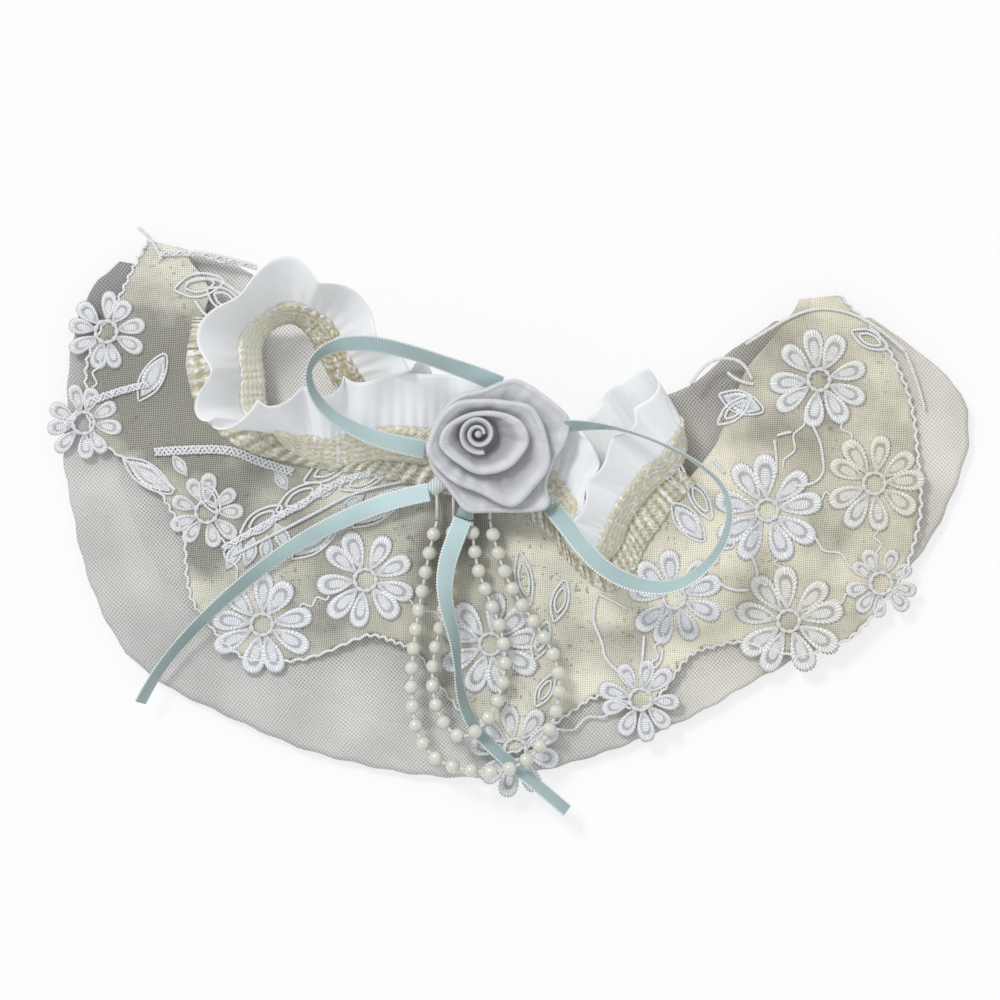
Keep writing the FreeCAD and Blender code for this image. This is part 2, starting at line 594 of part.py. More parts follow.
def build():
    parts = {
        "elastic_core": elastic_core(),
        "band_casing": band_casing(),
        "satin_ruffle": satin_ruffle(),
        "gathered_heading": gathered_heading(),
        "back_heading": back_heading(),
        "tulle_front": fan_cloth(FLOUNCE_TOP, TULLE_HEM, TULLE_ANGLES, tulle_under, TULLE_THICKNESS),
        "net_front": fan_cloth(FLOUNCE_TOP, NET_HEM, NET_ANGLES, net_under, NET_THICKNESS),
        "net_back": back_cloth(BACK_NET_SHRINK, 0.0, BACK_NET_THICKNESS),
        "tulle_back": back_cloth(0.0, BACK_NET_THICKNESS + BACK_TULLE_GAP, TULLE_THICKNESS),
        "rose_backing": rose_backing(),
        "rose_bud": petal_wrap(*BUD_WRAP),
        "rose_petals_inner": petal_wrap(*INNER_WRAP),
        "rose_petals_middle": petal_wrap(*MIDDLE_WRAP),
        "rose_petals_outer": petal_wrap(*OUTER_WRAP),
        "bow_knot": bow_knot(),
        "bow_loop_left": ribbon("bow_loop_left", LOOP_LEFT),
        "bow_loop_right": ribbon("bow_loop_right", LOOP_RIGHT),
        "ribbon_tail_long": ribbon("ribbon_tail_long", TAIL_LEFT),
        "ribbon_tail_short": ribbon("ribbon_tail_short", TAIL_DOWN),
        "strand_thread_outer": thread("strand_thread_outer", STRAND_OUTER),
        "strand_thread_inner": thread("strand_thread_inner", STRAND_INNER),
        "strand_pearls_outer": pearls(STRAND_OUTER),
        "strand_pearls_inner": pearls(STRAND_INNER),
    }
    for number, (centre, diameter) in enumerate(FRONT_DAISIES, 1):
        parts["lace_daisy_%d" % number] = daisy(centre, diameter, on_net)
    for number, (centre, diameter) in enumerate(BACK_DAISIES, 1):
        parts["back_daisy_%d" % number] = daisy(centre, diameter, on_table)
    for number, (centre, direction, length) in enumerate(LEAVES, 1):
        parts["lace_leaf_%d" % number] = leaf(centre, direction, length, on_net)
    return parts


os.makedirs("parts", exist_ok=True)
for node, shape in build().items():
    shape.exportStep("parts/" + node + ".step")
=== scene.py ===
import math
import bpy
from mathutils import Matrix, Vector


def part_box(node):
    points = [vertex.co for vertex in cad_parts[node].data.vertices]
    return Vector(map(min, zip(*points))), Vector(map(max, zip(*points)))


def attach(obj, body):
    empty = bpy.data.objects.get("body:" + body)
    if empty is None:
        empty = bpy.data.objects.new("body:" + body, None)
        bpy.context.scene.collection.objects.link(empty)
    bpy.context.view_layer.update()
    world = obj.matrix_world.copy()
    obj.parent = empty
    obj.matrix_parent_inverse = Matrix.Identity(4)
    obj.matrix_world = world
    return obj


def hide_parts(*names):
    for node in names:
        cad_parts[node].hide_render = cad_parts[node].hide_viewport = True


bl_info = {
    "name": "Bridal garter",
    "version": (1, 0, 0),
    "blender": (4, 5, 0),
    "location": "View3D > Sidebar > Garter",
    "description": "A bridal garter laid flat, with lace, tulle, an organza rose, a bow and pearls",
    "category": "Add Mesh",
}

import bpy
import numpy as np
from bpy.props import FloatProperty, FloatVectorProperty, IntProperty, PointerProperty
from mathutils import Vector, noise

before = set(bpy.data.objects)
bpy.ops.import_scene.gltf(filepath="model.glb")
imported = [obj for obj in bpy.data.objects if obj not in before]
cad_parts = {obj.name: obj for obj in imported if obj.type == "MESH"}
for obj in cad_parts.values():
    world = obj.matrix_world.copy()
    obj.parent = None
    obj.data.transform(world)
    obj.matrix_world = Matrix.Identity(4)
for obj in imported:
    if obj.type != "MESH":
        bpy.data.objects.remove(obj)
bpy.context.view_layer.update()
MM = 0.001
BODY = "garter"

# Stage: lengths in metres, angles in degrees
CAMERA_PLACE = (-0.0028, 0.00336, 1.5)
CAMERA_TO_GARTER = 1.494
PICTURE_WIDTH = 0.28
SENSOR_WIDTH = 36
SUN_TURNS = (-32, -30)
SUN_SPREAD = 14
SUN_STRENGTH = 1.35
SKY_COLOUR = (0.97, 0.985, 1, 1)
SKY_STRENGTH = 0.74
FLOOR_COLOUR = (0.92, 0.92, 0.92, 1)
FLOOR_GLOW = 0.72
FLOOR_SIZE = 4
FLOOR_DROP = 0.0004

# Thicknesses of the cloths, in metres
RIBBON_THICKNESS = 0.00022
CASING_THICKNESS = 0.0003
ELASTIC_THICKNESS = 0.0006
RUFFLE_THICKNESS = 0.00035
HEADING_THICKNESS = 0.0004
FLOUNCE_THICKNESS = 0.00025
PETAL_THICKNESS = 0.0002

# Band stations, in millimetres: middle, direction across, lean of the ruffle, height of its waves
BAND_STATIONS = [
    ((-4, 17, 8.5), (0, 1, 0), (0, 1, 0), 0.6),
    ((-20, 18, 8.9), (0, 1, 0.1), (0, 1, 0.06), 0.7),
    ((-35, 19, 11), (0, 0.9, 0.45), (0, 0.95, 0.3), 1.8),
    ((-50, 17, 12), (0, 0.7, 0.7), (0, 0.92, 0.4), 2.6),
    ((-61.5, 20, 12), (-0.2, 0.5, 0.84), (-0.4, 0.55, 0.7), 2.6),
    ((-70.5, 27, 12), (-0.58, -0.15, 0.78), (-0.72, -0.05, 0.66), 2.4),
    ((-72.1, 37, 12), (-0.62, 0, 0.78), (-0.56, 0, 0.8), 2.2),
    ((-72.4, 47, 12), (-0.5, 0.3, 0.81), (-0.56, 0.18, 0.78), 2.2),
    ((-68, 53.2, 12), (-0.3, 0.35, 0.88), (-0.3, 0.48, 0.8), 2.4),
    ((-60.5, 55.6, 12), (0, 0.5, 0.87), (0, 0.66, 0.74), 2.6),
    ((-53.8, 52.2, 11), (0.45, 0.5, 0.74), (0.35, 0.5, 0.75), 2.4),
    ((-49.4, 45, 10), (0.68, 0.35, 0.64), (0.62, 0.28, 0.6), 2.2),
    ((-44, 35, 8.5), (0.6, 0.4, 0.7), (0.75, 0.2, 0.44), 1.8),
    ((-32, 24, 5.8), (0.3, 0.85, 0.25), (0.3, 0.93, 0.12), 0.9),
    ((-21, 12, 4.3), (0, 1, 0), (0, 1, 0), 0.5),
    ((-4, 9.5, 4.2), (0, 1, 0), (0, 1, 0), 0.5),
    ((11, 7, 4.2), (0, 1, 0), (0, 1, 0), 0.5),
    ((22, 2.5, 4.2), (-0.3, 0.95, 0), (-0.3, 0.95, 0), 0.5),
    ((33, 10, 4.4), (-0.6, 0.8, 0), (-0.4, 0.9, 0.03), 0.7),
    ((41, 19, 5.2), (-0.5, 0.85, 0.1), (-0.58, 0.8, 0.08), 0.9),
    ((48, 22.5, 7.5), (-0.1, 0.8, 0.55), (-0.42, 0.85, 0.2), 1.4),
    ((45, 14.5, 10), (-0.4, 0.5, 0.76), (-0.55, 0.6, 0.35), 1.8),
    ((38, 8.5, 10.5), (-0.6, 0.25, 0.75), (-0.62, 0.35, 0.35), 1.3),
    ((31, -1, 10), (-0.6, 0.1, 0.78), (-0.5, 0.25, 0.35), 1.3),
    ((27.5, -9, 9.5), (-0.6, 0.2, 0.75), (-0.4, 0.2, 0.3), 1.2),
    ((23, -14, 9), (-0.1, 0.4, 0.9), (-0.4, 0.5, 0.3), 1.3),
    ((18.5, -9, 9), (0.3, 0.5, 0.8), (0, 0.75, 0.2), 1.1),
    ((14.5, 1, 9), (0.25, 0.9, 0.3), (0.35, 0.9, 0.12), 1.0),
    ((6, 11, 8.7), (0.1, 1, 0.1), (0.15, 0.98, 0.05), 0.7),
]
# Stations between which the front and the back heading run, past the loop's end where larger
NEAR_STATIONS = (21, 38)
BACK_STATIONS = (12, 20)
BAND_WIDTH = 10.0
ELASTIC_WIDTH = 8.0
ELASTIC_COLUMNS = (-1, -0.75, -0.5, -0.25, 0, 0.25, 0.5, 0.75, 1)
# Section of the casing: place across the band and out of its face
CASING_PROFILE = [(-5.0, -0.62), (-3.6, -0.62), (-1.8, -0.62), (0, -0.62), (1.8, -0.62), (3.6, -0.62),
                  (4.5, -0.6), (4.82, -0.3), (4.9, 0), (4.82, 0.3), (4.5, 0.6), (3.6, 0.62),
                  (1.8, 0.62), (0, 0.62), (-1.8, 0.62), (-3.6, 0.62), (-5.0, 0.62)]
CASING_TOP = 4.6
CASING_BACK_OFFSET = 12
RIPPLE_PITCH = 2.3
RIPPLE_DEPTH = 0.16
RIPPLE_WAVE = 0.12

# Ruffle: sizes in millimetres, and its folds against the height of the waves
RUFFLE_COLUMNS = 12
RUFFLE_OVERLAP = 0.4
RUFFLE_CURL = 0.5
FOLD_SIZE = 1.15
FOLD_OVERHANG = 0.5
CRINKLE_SIZE = 0.15

# Headings: folds to a station, and sizes in millimetres
HEADING_FOLDS = 3.3
HEADING_COLUMNS = 8
HEADING_FOLD = 0.75
HEADING_SWELL = 0.8
HEADING_SWAY = 0.5

# Flounces, in millimetres and degrees round the fan's centre, with their folds to a full turn
FAN_Y = 51.0
FLOUNCE_RADIUS = 127.0
CORNER_REACH = 2.0
TULLE_LOW = 2.6
TULLE_RISE = 4.6
TULLE_FOLD = 0.3
TULLE_FOLDS = 13
NET_GAP = 1.0
NET_FOLD = 1.0
NET_FOLDS = 16
LACE_GAP = 0.45
BACK_NET_HEIGHT = 0.35
BACK_TULLE_HEIGHT = 1.8
TULLE_LIFT = 0.2
NET_LIFT = 0.25
TULLE_EDGE_WAVE = 0.25
NET_EDGE_WAVE = 0.6
FLOUNCE_COLUMNS = 40
TULLE_ANGLES = (-100, 92)
NET_ANGLES = (-104, 96)
BACK_ANGLES = (-104, 92)
TULLE_HEM = [(-100, 110), (-97, 117), (-92, 121), (-86, 124), (-80, 126), (-74, 130.5), (-68, 132.5),
             (-62, 136), (-56, 139), (-50, 141), (-44, 139), (-38, 135), (-32, 132.5), (-26, 131),
             (-20, 129), (-10, 127), (0, 125), (10, 122), (19, 120), (34, 119.5), (41, 122),
             (46, 124.5), (52, 126.5), (58, 130), (64, 132), (76, 133), (82, 129), (88, 112), (92, 100)]
NET_HEM = [(-104, 104), (-94, 110), (-86, 119), (-76, 121), (-68, 108), (-58, 107), (-50, 117),
           (-39, 119), (-32, 109), (-25, 93), (-16, 93), (-9, 105), (0, 120), (7, 110), (14, 104),
           (19, 114), (29, 103), (37, 108), (41, 122), (48, 129), (58, 130), (66, 126), (72, 120),
           (80, 114), (88, 105), (96, 92)]
FLOUNCE_TOP = [(-104, 95), (-98, 84), (-92, 86), (-84, 89), (-75, 88), (-66, 80), (-58, 68),
               (-45, 54), (-30, 48), (-10, 45.5), (3, 47), (11, 56), (16, 69), (20, 76.5), (25, 76),
               (32, 69), (42, 65), (50, 65), (61, 66), (71, 65), (81, 67), (88, 73), (96, 82)]
BACK_TOP = [(-104, 84), (-100, 62), (-93, 48), (-67, 43), (-36, 33), (-8, 29), (25, 33), (45, 36),
            (64, 44), (73, 53), (85, 62), (94, 78)]
BACK_HEM = [(-104, 100), (-94, 112), (-76, 116), (-54, 120), (-20, 115), (0, 114), (25, 110),
            (41, 115), (60, 121), (78, 119), (94, 92)]

# Daisies: centre and diameter in millimetres, turn in degrees, cream shade from 0 to 1
FRONT_DAISIES = [((-113, 50.5), 22, 10, 0.1), ((-119.5, 25), 21, 30, 0.1), ((-85, 0), 21, 0, 0.2),
                 ((-69.5, -31.5), 29, 12, 0.0), ((-40.5, -19), 28, 25, 0.1), ((-5.5, -37), 29, 5, 0.1),
                 ((1.5, -66.5), 26, 20, 0.1), ((36.5, -52.5), 23, 0, 0.1), ((46, -24), 27, 15, 0.1),
                 ((72, 0.5), 31, 8, 0.15), ((86.5, 37), 28, 20, 0.3), ((102, 8), 28, 0, 0.9),
                 ((78, -30.5), 31, 10, 0.5), ((104, -20), 20, 30, 0.4)]
BACK_DAISIES = [((-94, 20), 26, 0, 0.5), ((-62, -20), 28, 20, 0.5), ((-26, -42), 28, 10, 0.5),
                ((14, -40), 28, 30, 0.5), ((52, -22), 28, 0, 0.5), ((82, 12), 26, 15, 0.5)]
# Leaves with a solid each: centre, direction in degrees and length
LEAVES = [((-36, 1.5), 35, 18), ((-54, -7.5), 38, 16), ((50, -3), -50, 13), ((65, 30.5), -20, 12),
          ((-100, 38), 60, 14), ((-101, 10), -35, 16)]
# Petals: the ball they are drawn from, and shares of the way from their middle to their rim
PETAL_SEGMENTS = 56
PETAL_RINGS = 10
PETAL_BREADTH = 1.25
RIM_PLACE = 0.84
RIM_SPREAD = 0.12
SCALLOP = 0.035
# Daisies' rings of knots and the leaves, in millimetres
DAISY_INNER = 2.7
KNOT_RING = 3.0
KNOT_THICKNESS = 0.75
KNOTS = 9
LEAF_WIDTH = 5.0
LEAF_OUTLINE = [(-0.5, 0), (-0.3, 0.36), (-0.05, 0.5), (0.25, 0.36), (0.5, 0), (0.25, -0.36),
                (-0.05, -0.5), (-0.3, -0.36), (-0.5, 0)]
LEAF_CORD_LENGTH = 2.2
LEAF_CORD_WIDTH = 6.6

# Embroidered lines on the lace: width, cream shade and points, in millimetres
TRIMS = [
    (1.1, 0.0, [(-104.5, 80.0), (-101.5, 77.5), (-99.0, 74.0), (-97.5, 70.5)]),
    (0.9, 0.0, [(-97.5, 73.5), (-92.0, 73.0), (-86.0, 71.8), (-79.5, 69.6)]),
    (0.9, 0.4, [(84.3, 24.9), (86.8, 20.4), (87.6, 15.1), (87.9, 10.6), (84.3, 7.3), (79.2, 7.3)]),
    (0.9, 0.3, [(73.9, 20.4), (74.8, 15.1), (74.5, 10.6)]),
    (0.9, 0.3, [(74.5, 21.3), (76.7, 22.1), (79.0, 22.4)]),
    (0.9, 0.1, [(56.3, 15.1), (58.2, 13.2), (60.2, 10.6)]),
    (0.9, 0.2, [(66.9, -11.2), (69.4, -15.7), (68.9, -19.3), (72.2, -20.7)]),
    (0.9, 0.2, [(57.4, -18.5), (60.8, -22.7), (66.9, -21.8)]),
    (1.0, 0.1, [(24.6, -23.0), (22.4, -29.1), (26.0, -36.7), (26.3, -41.2), (33.0, -47.0),
                (34.7, -49.3)]),
    (1.0, 0.1, [(37.5, -34.4), (37.2, -40.3), (36.4, -46.2)]),
    (0.8, 0.1, [(42.6, -38.1), (42.8, -42.6), (39.8, -44.0)]),
    (0.8, 0.1, [(24.6, -23.0), (28.6, -24.6), (33.0, -27.4)]),
    (1.0, 0.3, [(60.8, 39.2), (63.8, 36.1), (68.3, 35.8)]),
    (1.8, 0.0, [(-119.3, 30.2), (-109.2, 34.4), (-101.1, 35.8)]),
    (1.3, 0.0, [(-120.7, 28.3), (-123.2, 25.8), (-125.4, 23.5)]),
    (2.3, 0.0, [(-99.7, 16.8), (-88.2, 17.6), (-77.3, 17.4), (-70.6, 14.0), (-60.5, 11.2)]),
    (1.2, 0.0, [(-101.1, 13.4), (-97.4, 9.5), (-93.5, 5.9)]),
    (1.3, 0.2, [(-98.3, 72.2), (-89.6, 72.8), (-79.8, 71.1), (-70.6, 68.3)]),
    (1.0, 0.2, [(-91.0, 64.1), (-84.0, 66.4), (-77.0, 62.2), (-70.6, 57.4)]),
    (1.0, 0.2, [(-88.2, 59.4), (-85.4, 54.3), (-80.6, 53.2), (-75.6, 56.0)]),
    (1.6, 0.0, [(-80.6, -10.4), (-69.4, -3.9), (-56.8, 3.1), (-43.4, 11.2), (-25.8, 12.6)]),
    (1.0, 0.0, [(-77.8, -12.3), (-65.8, -6.2), (-53.8, 0.0), (-41.4, 6.7), (-26.3, 9.0)]),
    (1.0, 0.4, [(50.4, 35.6), (53.8, 40.9), (59.4, 43.4), (65.8, 42.0), (67.8, 37.0)]),
    (1.0, 0.5, [(65.8, 46.8), (74.2, 52.4), (84.0, 57.1), (93.8, 56.6), (103.6, 51.5), (110.6, 44.8)]),
    (0.9, 0.5, [(110.6, 44.8), (114.2, 37.0), (116.2, 28.6)]),
]
# Lines at least this wide are crocheted strips
STRIP_WIDTH = 1.3
STRIP_CORDS = 3
STRIP_REPEAT = 3.8
STRIP_PITCH = 0.5
STITCH_PITCH = 0.4
STITCH_SIDES = 5
# Longest gap that a bar bridges between two daisies
BAR_GAP = 14

# Leaves of satin stitch with no daisy: centre, direction in degrees, length and width
SATIN_LEAVES = [
    ((-77.3, -12.3), 62, 9.6, 3.6),
    ((-72.8, -11.2), 74, 9.6, 3.6),
    ((-68.2, -10.2), 84, 8.6, 3.4),
    ((-63.6, -7.2), 118, 10.5, 3.8),
    ((-64.0, 9.0), 120, 7.5, 3.2),
    ((-92.4, 13.0), -55, 8.0, 3.0),
    ((-52.0, 6.0), 20, 9.0, 3.2),
    ((-44.0, 2.6), 32, 8.4, 3.2),
]

# Corded leaves in nested lines: centre, direction in degrees, length and width
CLUSTERS = [
    ((-50.4, 12.3), 28, 17, 6),
    ((-40.9, 9.0), 20, 15, 5),
    ((-32.2, 12.9), 30, 13, 5),
    ((-58.8, 4.2), 32, 16, 6),
    ((-69.4, -2.2), 34, 15, 6),
    ((45.4, 11.8), -55, 15, 6),
    ((53.2, 3.4), -60, 14, 5),
    ((3.9, -19.0), -80, 17, 5),
    ((8.7, -35.8), 70, 12, 5),
    ((9.8, -49.8), 60, 11, 4.5),
    ((14.0, -24.6), 75, 13, 5),
    ((-86.8, 63.6), 10, 15, 7),
    ((-79.8, 59.4), -30, 12, 6),
    ((100.8, 48.2), -25, 12, 5),
    ((-84.0, 3.9), -60, 11, 5),
    ((63.0, 28.6), 40, 13, 5),
]

# Places round the band and the casing's painted light and shade there, from 0 shaded to 1 lit
CASING_SHADES = [(0, 0.5), (4, 0.5), (5, 1.0), (7, 1.0), (9, 0.45), (10.5, 0.1), (12.5, 0.05), (14, 0.5)]

# Places round the band where the ruffle's free edge folds outwards
RUFFLE_CRESTS = [0.3, 1.2, 2.3, 3.1, 3.9, 4.6, 5.4, 6.9, 8.8, 10.4, 11.8, 13.2, 14.6, 16, 17.4, 18.6,
                 19.5, 20.4, 21.2, 22.2, 23.2, 24.2, 25.2, 26.2, 27.2, 28.2]

# Ribbons and pearls: lengths in millimetres, the tilt in degrees at which a ribbon's painted shade is
# full, and a bead's own share at its bore
RIBBON_COLUMNS = (-1, -0.86, -0.5, 0, 0.5, 0.86, 1)
RIBBON_PITCH = 0.2
RIBBON_CUP = 0.12
PICOT_PITCH = 0.8
PICOT_DEPTH = 0.13
FULL_SHADE_TILT = 75
BEAD_SEGMENTS = 20
BEAD_RINGS = 12
BEAD_BORE_SHARE = 0.495

# Routes of the ribbons and pearl strands, in metres, and the tilt of a ribbon's width in degrees
LOOP_LEFT = [(-.0028, .0356, .0118, 20), (-.0085, .038, .0145, 30), (-.016, .0405, .02, 40),
             (-.026, .0438, .028, 40), (-.037, .0465, .0305, 35), (-.0455, .0466, .0315, 40),
             (-.052, .0444, .032, 60), (-.0558, .0395, .032, 75), (-.0548, .0332, .0305, 65),
             (-.0505, .0276, .0275, 50), (-.0445, .0236, .0235, 40), (-.037, .0204, .0185, 30),
             (-.03, .0186, .014, 20), (-.0238, .0174, .0118, 10)]
LOOP_RIGHT = [(.0118, .0011, .0118, 10), (.0155, -.0035, .0192, 15), (.0195, -.009, .023, 20),
              (.0245, -.0145, .0236, 25), (.0305, -.0184, .024, 30), (.0378, -.0208, .024, 40),
              (.0455, -.0208, .024, 50), (.053, -.0165, .024, 60), (.059, -.009, .024, 65),
              (.0613, 0, .024, 72), (.059, .0075, .024, 76), (.0525, .0133, .0244, 80),
              (.0435, .0183, .0246, 82), (.0335, .0222, .0246, 84), (.024, .0243, .0215, 80),
              (.0158, .024, .0165, 50)]
TAIL_LONG = [(-.0226, .0056, .0112, 0), (-.031, .004, .011, 10), (-.042, 0, .0106, 22),
             (-.053, -.005, .0102, 32), (-.0645, -.012, .0098, 40), (-.0755, -.0205, .0094, 46),
             (-.0865, -.0305, .0086, 52), (-.096, -.041, .0074, 56), (-.1015, -.0495, .0064, 58),
             (-.1035, -.0535, .006, 56)]
TAIL_SHORT = [(-.0132, -.002, .0136, 0), (-.0155, -.008, .0148, 8), (-.0176, -.014, .0152, 20),
              (-.0184, -.021, .0152, 35), (-.0174, -.028, .0148, 45), (-.0152, -.0355, .0134, 55),
              (-.0146, -.043, .0124, 70), (-.014, -.0495, .0118, 62), (-.0124, -.0555, .01, 52),
              (-.0094, -.061, .0092, 50), (-.0036, -.0672, .009, 50), (.0036, -.073, .009, 50),
              (.0102, -.0786, .0088, 50), (.016, -.0835, .0086, 50)]
STRAND_OUTER = [(-.0204, -.0026, .011), (-.0222, -.0095, .0109), (-.024, -.0195, .0108),
                (-.026, -.0305, .0106), (-.0273, -.0415, .0104), (-.0276, -.052, .0102),
                (-.026, -.062, .0102), (-.0215, -.0688, .0104), (-.0145, -.0716, .0118),
                (-.005, -.0728, .0134), (.0035, -.0706, .0118), (.01, -.0638, .0102),
                (.014, -.0525, .0102), (.0134, -.0415, .0104), (.0074, -.0315, .0106),
                (.0008, -.0225, .0108), (-.0036, -.0118, .0109), (-.0056, -.0026, .011)]
STRAND_INNER = [(-.0158, -.0026, .011), (-.0166, -.0135, .0109), (-.0184, -.028, .0107),
                (-.0214, -.0398, .0105), (-.0218, -.05, .0103), (-.0196, -.0576, .0103),
                (-.0146, -.0634, .0124), (-.0086, -.061, .0124), (-.0034, -.0536, .0103),
                (-.001, -.0432, .0105), (-.0024, -.032, .0107), (-.007, -.022, .0108),
                (-.0102, -.012, .0109), (-.0106, -.0026, .011)]

# Knot of the bow and the threads' ends under the rose, in millimetres
BOW_Z = 11.2
ARM_GAP = 0.4
ARM_TOP = 12.4
ARM_WIDTH = 4.2
ARM_THICKNESS = 0.4
TIE_START = (-4, 13, 10.3)
TIE_END = (-4, 21, 10.3)
TIE_WIDTH = 8.0
TIE_THICKNESS = 2.2
ANCHOR_GAP = 0.5
HANGER_LENGTH = 12
HANGER_WIDTH = 0.8
HANGER_THICKNESS = 0.5

# Rose, in millimetres from its own centre: outlines of the petals' lips
ROSE_CENTRE = (-6.0, 19.5, 12.85)
BUD_CENTRE = (-2.8, 2.1)
BUD_STEPS = 120
BUD_TURNS = 1.8
BUD_RADIUS = 1.4
BUD_GROWTH = 3.9
BUD_HEIGHT = 11.4
BUD_FALL = 1.4
BUD_FOOT_SHARE = 0.68
KNOB_HEIGHT = 9.6
KNOB_COLUMNS = 14
LIP_STEPS = 168
# Shares of a petal's reach and of its rise, from foot to lip, and turns of the rolled lip in degrees
PETAL_SECTIONS = [(0, 0), (0.04, 0.35), (0.12, 0.64), (0.3, 0.8), (0.6, 0.91), (0.85, 0.98), (1, 1)]
ROLL_TURNS = (50, 100, 150, 180)
INNER_LIP = [(-12.2, 0.1), (-10.5, 3.8), (-4.8, 6.7), (2.1, 7.0), (7.8, 4.9), (9.8, 0.1), (6.9, -4.5),
             (3.2, -6.9), (-2.5, -7.6), (-7.4, -5.2), (-11.1, -2.4)]
MIDDLE_LIP = [(-15.2, -3.3), (-14.8, 1.2), (-12, 6.4), (-7.7, 9.8), (-1.3, 10.2), (4.3, 9.9),
              (10.6, 8.7), (14, 3), (15.5, -5.6), (11.8, -11.3), (6, -16.5), (-2.3, -12.5),
              (-9.4, -9.4)]
OUTER_LIP = [(-15.3, -3.2), (-14.3, -7.2), (-11.3, -10.8), (-8.8, -14.2), (-5.5, -17.9), (1.5, -18.1),
             (12.5, -18.1), (15.9, -16.3), (15.1, -10.8), (17.1, -4.8), (20.2, 0), (21, 6.1),
             (15.1, 11.6), (8.3, 15.8), (3.7, 15.5), (-1.7, 13.1), (-7.6, 11.6), (-12.6, 7),
             (-14.8, 1.9)]

# Wraps of petals: piece, solid it replaces, outline of the lip, radius of the foot, heights of the
# foot and the lip over the rose's base, roll of the lip, and lean of the foot to the bud
PETAL_WRAPS = (
    ("rose_inner", "rose_petals_inner", INNER_LIP, 5.2, 0.2, 9.6, 1.3, 0.9),
    ("rose_middle", "rose_petals_middle", MIDDLE_LIP, 7.0, 0.2, 7.2, 1.6, 0.6),
    ("rose_outer", "rose_petals_outer", OUTER_LIP, 8.8, 0.2, 4.2, 1.4, 0.3),
)
BACKING_SIDES = 64
BACKING_BEVEL = 0.0004


# Sizes and colours that a user would change
class GarterSizes(bpy.types.PropertyGroup):
    ribbon_width: FloatProperty(name="Ribbon width", description="Width of the bow's ribbon",
                                default=0.0052, unit="LENGTH")
    ruffle_width: FloatProperty(name="Ruffle width", description="Width of the gathered satin ribbon",
                                default=0.016, unit="LENGTH")
    pearl_diameter: FloatProperty(name="Pearl diameter", description="Diameter of one bead",
                                  default=0.004, unit="LENGTH")
    pearl_pitch: FloatProperty(name="Pearl pitch", description="Distance between two beads",
                               default=0.0054, unit="LENGTH")
    thread_diameter: FloatProperty(name="Thread diameter", description="Thread through the pearls",
                                   default=0.0008, unit="LENGTH")
    tulle_cell: FloatProperty(name="Tulle cell", description="Distance between the tulle's threads",
                              default=0.0008, unit="LENGTH")
    net_cell: FloatProperty(name="Net cell", description="Distance between the lace net's threads",
                            default=0.0006, unit="LENGTH")
    daisy_petals: IntProperty(name="Daisy petals", description="Petals of each lace daisy",
                              default=9, min=5)


def colour(name, description, default):
    return FloatVectorProperty(name=name, description=description, default=default, subtype="COLOR",
                               min=0, max=1)


class GarterColours(bpy.types.PropertyGroup):
    satin: colour("Satin", "Ribbon of the ruffle", (0.95, 0.965, 0.99))
    cream: colour("Cream", "Casing and gathered lace", (0.92, 0.91, 0.83))
    tulle_thread: colour("Tulle thread", "Threads of the tulle", (0.74, 0.735, 0.72))
    tulle_ground: colour("Tulle ground", "Between the tulle's threads", (0.53, 0.52, 0.51))
    net_thread: colour("Net thread", "Threads of the lace's ground", (0.72, 0.71, 0.63))
    # Net ground: the net's own colour, darkened with painted shade of the shadowed layers seen through
    # its holes
    net_ground: colour("Net ground", "Between the lace's ground threads", (0.46, 0.445, 0.345))
    lace: colour("Lace", "Embroidery thread", (0.97, 0.98, 1.0))
    # Lace shade is painted shade between the embroidery threads and in the petals' sunken middles
    lace_shade: colour("Lace shade", "Between the embroidery threads", (0.65, 0.67, 0.725))
    ribbon: colour("Ribbon", "The bow's ribbon", (0.52, 0.67, 0.68))
    organza: colour("Organza", "Petals of the rose", (0.54, 0.545, 0.57))
    pearl: colour("Pearl", "Beads", (0.70, 0.70, 0.62))


# Places on the band and the flounces, in millimetres
def catmull(p0, p1, p2, p3, t):
    """A smooth value between the second and third of four, at a share of the way."""
    a = p1 * 2.0
    b = (p2 - p0) * t
    c = (p0 * 2.0 - p1 * 5.0 + p2 * 4.0 - p3) * (t * t)
    d = (p1 * 3.0 - p0 - p2 * 3.0 + p3) * (t * t * t)
    return (a + b + c + d) * 0.5


def band_value(column, place):
    """A column of the band's stations, smoothed at any place round its loop."""
    count = len(BAND_STATIONS)
    first = int(math.floor(place))
    four = []
    for step in (-1, 0, 1, 2):
        value = BAND_STATIONS[(first + step) % count][column]
        four.append(Vector(value) if column < 3 else value)
    return catmull(four[0], four[1], four[2], four[3], place - first)


def band_frame(place):
    """Middle, direction across, direction of the face and direction along the band."""
    middle = band_value(0, place)
    along = (band_value(0, place + 0.05) - band_value(0, place - 0.05)).normalized()
    face = along.cross(band_value(1, place)).normalized()
    across = face.cross(along).normalized()
    return middle, across, face, along


def edge_radius(table, angle):
    """Distance of a flounce's edge from the fan's centre at an angle, rounded at its corners."""
    angles = [row[0] for row in table]
    radii = [row[1] for row in table]
    near = np.interp([angle - CORNER_REACH, angle, angle + CORNER_REACH], angles, radii)
    return float(near[0] + 2 * near[1] + near[2]) / 4


def line_length(points):
    return sum((points[i + 1] - points[i]).length for i in range(len(points) - 1))


def on_fan(angle, radius, z):
    turn = math.radians(angle)
    return Vector((radius * math.sin(turn), FAN_Y - radius * math.cos(turn), z))


def fan_place(x, y):
    return math.degrees(math.atan2(x, FAN_Y - y)), math.hypot(x, FAN_Y - y)


def tulle_height(angle, radius):
    share = radius / FLOUNCE_RADIUS
    fold = TULLE_FOLD * math.cos(math.radians(TULLE_FOLDS * angle)) * share
    return TULLE_LOW + TULLE_RISE * (1 - share) + fold


def net_height(angle, radius):
    share = radius / FLOUNCE_RADIUS
    fold = NET_FOLD * (1 + math.cos(math.radians(NET_FOLDS * angle))) * share
    return tulle_height(angle, radius) + NET_GAP + fold


def flat_height(angle, radius):
    return 0.0


